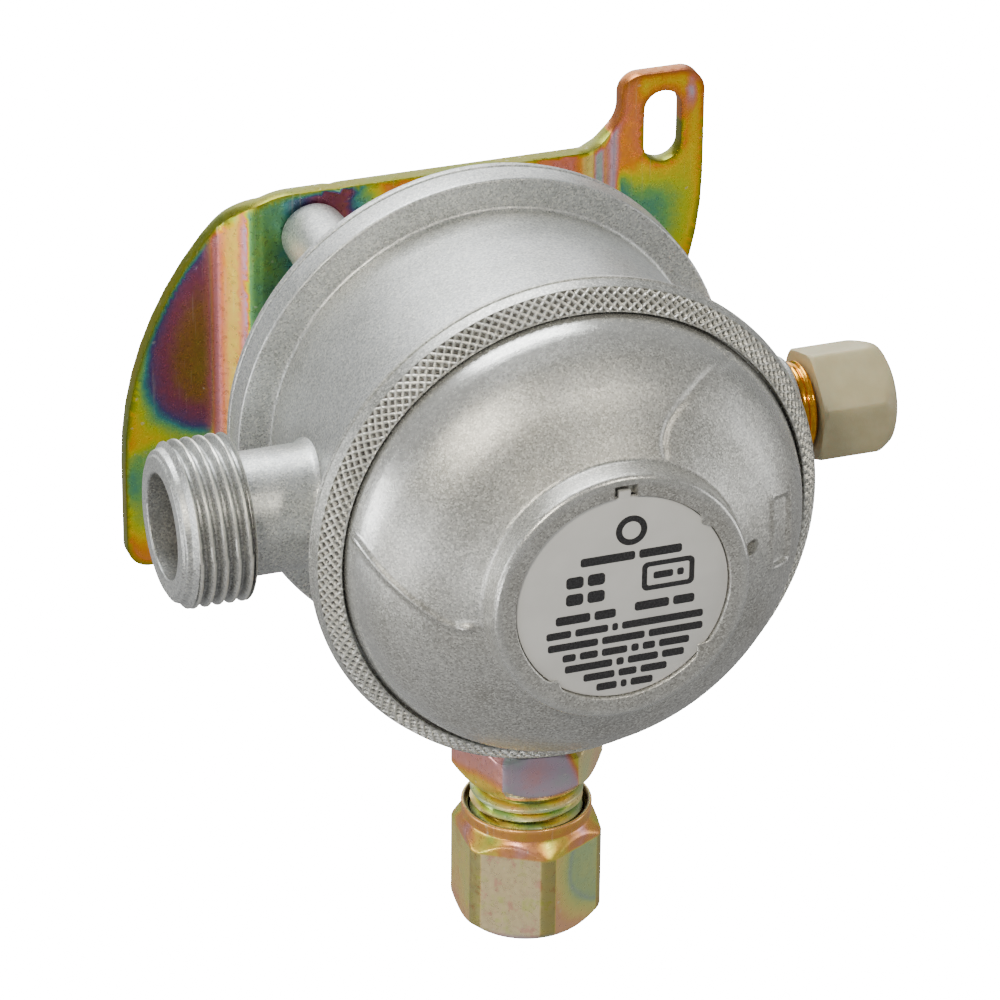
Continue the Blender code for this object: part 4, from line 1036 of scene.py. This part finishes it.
def zinc_film(name, pale=0.0, cloud=None, bloom=False, mottled=False):
    """Bright zinc under a yellow passivation film, whose colour follows the film's thickness."""
    look = Look(name, metallic=0.72)
    film = look.noise(cloud, 2) if cloud else look.attribute("film")
    painted_light_and_wear = look.attribute("painted_light_and_wear")
    wander = look.span(look.noise(1.1, 3, 0.6), 0, 1, -0.05, 0.05)
    level = look.calc("DIVIDE", look.calc("ADD", film, wander), FULL_FILM, clamp=True)
    colour = look.ramp(level, [(place, tone(*shown)) for place, shown in FILM])
    if bloom:
        colour = look.mix(look.attribute("rose"), colour, tone(0.84, 0.50, 0.46))
    if pale:
        colour = look.mix(pale, colour, tone(0.90, 0.83, 0.62))
    if mottled:
        mottle = look.ramp(look.noise(1.9, 5, 0.65), [
            (0.34, tone(0.86, 0.86, 0.42)), (0.45, tone(0.95, 0.86, 0.60)),
            (0.56, tone(0.93, 0.84, 0.58)), (0.64, tone(0.91, 0.66, 0.50)),
        ])
        colour = look.mix(look.calc("MULTIPLY", look.attribute("straw"), 0.92), colour, mottle)
    # Painted shade darkens where the attribute is above zero; painted highlight, with rubbed wear on the
    # bracket, lightens where it is below zero
    colour = look.mix(look.span(painted_light_and_wear, 0.0, 1.0, 0.0, 0.72), colour, tone(0.14, 0.10, 0.05))
    colour = look.mix(look.span(painted_light_and_wear, 0.0, -1.0, 0.0, 0.50), colour, tone(1.0, 0.98, 0.92))
    scratch = look.span(look.noise(0.5, 2, 0.5, (1, 1, 0.05)), 0.62, 0.72, 0.0, 0.12)
    colour = look.mix(scratch, colour, tone(0.95, 0.92, 0.84))
    colour = look.mix(look.span(look.specks(0.35), 0.995, 1.0, 0.0, 0.3), colour, tone(0.98, 0.96, 0.90))
    look.set("Base Color", colour)
    look.roughen(0.7, 3, 0.24, 0.38)
    look.bump(look.noise(0.9, 4, 0.6), 0.015)
    return look.material


def metal(name, light, dark, roughness):
    look = Look(name, metallic=1.0)
    streak = look.noise(0.5, 3, 0.6)
    look.set("Base Color", look.mix(look.span(streak, 0.3, 0.7), tone(*dark), tone(*light)))
    look.roughen(1.4, 2, roughness - 0.05, roughness + 0.08)
    look.bump(streak, 0.01)
    return look.material


def moulding(name, light, dark, roughness, subsurface=0.0):
    look = Look(name)
    share = look.span(look.noise(2.4, 3), 0.35, 0.65)
    look.set("Base Color", look.mix(share, tone(*dark), tone(*light)))
    look.roughen(0.5, 2, roughness - 0.06, roughness + 0.06)
    if subsurface:
        look.set("Subsurface Weight", subsurface)
        look.set("Subsurface Scale", 0.8 * MM)
    below = look.bump(look.noise(2.0, 2), 0.04)
    look.bump(look.noise(0.25, 2), 0.012, below)
    return look.material


def sinter(name):
    look = Look(name, roughness=0.65, metallic=0.8)
    grains = look.specks(0.35)
    look.set("Base Color", look.mix(grains, tone(0.50, 0.33, 0.16), tone(0.78, 0.58, 0.36)))
    look.bump(grains, 0.15)
    return look.material


def label_metal(name):
    """Satin foil, printed over its whole face in one pale grey."""
    look = Look(name, metallic=0.15)
    fleck = look.specks(0.10)
    share = look.span(look.noise(5.0, 2), 0.3, 0.7)
    colour = look.mix(share, tone(0.86, 0.86, 0.85), tone(0.90, 0.90, 0.89))
    colour = look.mix(look.span(fleck, 0.8, 1.0, 0.0, 0.35), colour, tone(0.90, 0.90, 0.90))
    look.set("Base Color", colour)
    look.roughen(0.4, 2, 0.40, 0.52)
    look.bump(look.noise(0.3, 2), 0.01)
    return look.material


def ink(name):
    look = Look(name)
    share = look.span(look.noise(0.2, 2), 0.4, 0.7)
    look.set("Base Color", look.mix(share, tone(0.13, 0.13, 0.14), tone(0.24, 0.24, 0.25)))
    look.roughen(0.5, 2, 0.42, 0.56)
    return look.material


PAINT = cast_paint("silver_paint", (0.80, 0.81, 0.81), (0.75, 0.76, 0.755))
RIM_PAINT = cast_paint("rim_paint", (0.76, 0.765, 0.75), (0.70, 0.70, 0.68))
COVER_PAINT = cast_paint("cover_paint", (0.79, 0.79, 0.775), (0.73, 0.725, 0.70))
BRACKET_FILM = zinc_film("bracket_film", bloom=True)
NUT_FILM = zinc_film("nut_film", 0.26, mottled=True)
NIPPLE_FILM = zinc_film("nipple_film", 0.22)
BRIGHT_ZINC = metal("bright_zinc", (0.86, 0.87, 0.88), (0.70, 0.71, 0.72), 0.30)
STEEL = metal("spring_steel", (0.66, 0.66, 0.67), (0.48, 0.48, 0.49), 0.28)
BRASS = metal("machined_brass", (0.98, 0.74, 0.24), (0.90, 0.58, 0.12), 0.18)
CAP_PLASTIC = moulding("cap_moulding", (0.75, 0.715, 0.57), (0.72, 0.68, 0.53), 0.42, 0.15)
ACETAL = moulding("white_acetal", (0.90, 0.90, 0.87), (0.84, 0.84, 0.80), 0.38)
RUBBER = moulding("black_rubber", (0.10, 0.10, 0.10), (0.06, 0.06, 0.06), 0.62)
SINTER = sinter("sintered_bronze")
LABEL = label_metal("label_foil")
INK = ink("label_ink")

# CAD nodes that keep their own meshes, by material slot
SLOT_LOOKS = {
    "cast_paint": PAINT, "label_metal": LABEL,
    "yellow_zinc": zinc_film("plain_film", 0.3, cloud=9.0), "bright_zinc": BRIGHT_ZINC, "spring_steel": STEEL, "brass_metal": BRASS, "cap_plastic": CAP_PLASTIC,
    "acetal": ACETAL, "black_rubber": RUBBER, "sintered_bronze": SINTER,
}


# ---- The pieces ----------------------------------------------------------------------------

finish_piece(make_casting(), "root", ["main_body"], PAINT)
finish_piece(make_rim(), "root", ["main_body"], RIM_PAINT)
finish_piece(make_cover(), "root", ["front_cover"], COVER_PAINT)
finish_piece(make_label(), "root", ["label_plate"], LABEL)
finish_piece(make_print(), "root", None, INK)
finish_piece(make_rear_cover(), "root", ["rear_cover"], PAINT)
finish_piece(make_bracket(), "root", ["bracket"], BRACKET_FILM)
finish_piece(make_nipple(), "root", ["outlet_nipple"], NIPPLE_FILM)
finish_piece(make_nut(), "outlet_nut_body", ["outlet_nut"], NUT_FILM)
finish_piece(make_seal(), "root", ["outlet_seal_ring"], RUBBER)
finish_piece(make_test_nipple(), "root", ["test_nipple"], BRASS)
finish_piece(make_cap(), "test_cap_body", ["test_cap"], CAP_PLASTIC)
screw_places = [(x, z) for z in (POST_Z, -POST_Z) for x in (-POST_X, POST_X)]
for number, (x, z) in enumerate(screw_places, 1):
    finish_piece(make_screw(number, x, z), "root",
                 ["bracket_screw_%d" % number], BRIGHT_ZINC)

for part in frame["record"]["subparts"]:
    node = NODES[part["node"]]
    node.data.materials.clear()
    node.data.materials.append(SLOT_LOOKS[part["material_slot"]])


# ---- Floor, light and camera ---------------------------------------------------------------

PAPER_SHOWN, FLOOR_CAST, WORLD_CAST = 20.0, 0.32, 0.25
WHITE, SKY = (1, 1, 1, 1), (0.95, 0.98, 1.0, 1)
COOL, COOLER, WARM = (0.98, 0.99, 1.0), (0.97, 0.99, 1.0), (1.0, 0.93, 0.79)
FLOOR_Z, MIDDLE = -0.30, (0, -0.04, 0)


def two_glows(tree, kind, first, output, cast, tint):
    """Shows the camera bright white, while the scene gets less light, in a tint."""
    tree.nodes.remove(tree.nodes[first])
    path, both = tree.nodes.new("ShaderNodeLightPath"), tree.nodes.new("ShaderNodeMixShader")
    tree.links.new(path.outputs["Is Camera Ray"], both.inputs[0])
    for socket, strength, colour in ((1, cast, tint), (2, PAPER_SHOWN, WHITE)):
        glow = tree.nodes.new(kind)
        glow.inputs["Strength"].default_value = strength
        glow.inputs["Color"].default_value = colour
        tree.links.new(glow.outputs[0], both.inputs[socket])
    tree.links.new(both.outputs[0], tree.nodes[output].inputs["Surface"])


def make_floor():
    bpy.ops.mesh.primitive_plane_add(size=8.0, location=(0, 0, FLOOR_Z))
    floor = bpy.context.object
    floor.name = "floor"
    paper = bpy.data.materials.new("floor_paper")
    paper.use_nodes = True
    two_glows(paper.node_tree, "ShaderNodeEmission", "Principled BSDF", "Material Output",
              FLOOR_CAST, WHITE)
    floor.data.materials.append(paper)


def make_world():
    world = bpy.data.worlds.new("studio")
    bpy.context.scene.world = world
    world.use_nodes = True
    two_glows(world.node_tree, "ShaderNodeBackground", "Background", "World Output",
              WORLD_CAST, SKY)


def make_light(name, place, size, power, colour=(1, 1, 1)):
    """A soft box that looks at the object's middle."""
    data = bpy.data.lights.new(name, "AREA")
    data.shape = "RECTANGLE"
    data.size, data.size_y = size
    data.energy = power
    data.color = colour
    light = linked(name, data)
    light.location = place
    aim = Vector(MIDDLE) - Vector(place)
    light.rotation_euler = aim.to_track_quat("-Z", "Y").to_euler()


def make_camera():
    """Camera at the left, above the object and looking down on it, with a slight roll."""
    azimuth, elevation, roll = radians(-19.751), radians(28.379), radians(0.589)
    place = Vector((-0.198168, -0.586954, 0.307970))
    right = Vector((cos(azimuth), sin(azimuth), 0))
    back = Vector((sin(azimuth) * cos(elevation), -cos(azimuth) * cos(elevation), sin(elevation)))
    up = back.cross(right)
    turned_right = right * cos(roll) + up * sin(roll)
    turned_up = up * cos(roll) - right * sin(roll)
    data = bpy.data.cameras.new("camera")
    data.sensor_width = 36.0
    data.lens = 198.29
    data.clip_start = 0.05
    camera = linked("camera", data)
    axes = Matrix((turned_right, turned_up, back)).transposed().to_4x4()
    camera.matrix_world = Matrix.Translation(place) @ axes
    bpy.context.scene.camera = camera


make_floor()
make_world()
make_light("top_box", (-0.08, 0.52, 0.88), (0.7, 0.6), 16.0, COOLER)
make_light("left_box", (-1.02, 0.12, -0.02), (0.45, 0.45), 4.5, COOL)
make_light("right_box", (0.95, -0.30, 0.0), (0.35, 0.6), 1.8)
make_light("back_box", (0.10, 0.85, 0.25), (0.8, 0.5), 3.0)
make_light("low_left_box", (-0.80, -0.50, -0.22), (0.5, 0.12), 2.2)
make_light("left_key", (-0.50, -0.60, 0.60), (0.12, 0.12), 4.6, WARM)
make_light("right_key", (0.25, -0.72, 0.65), (0.08, 0.10), 1.9, WARM)
make_camera()
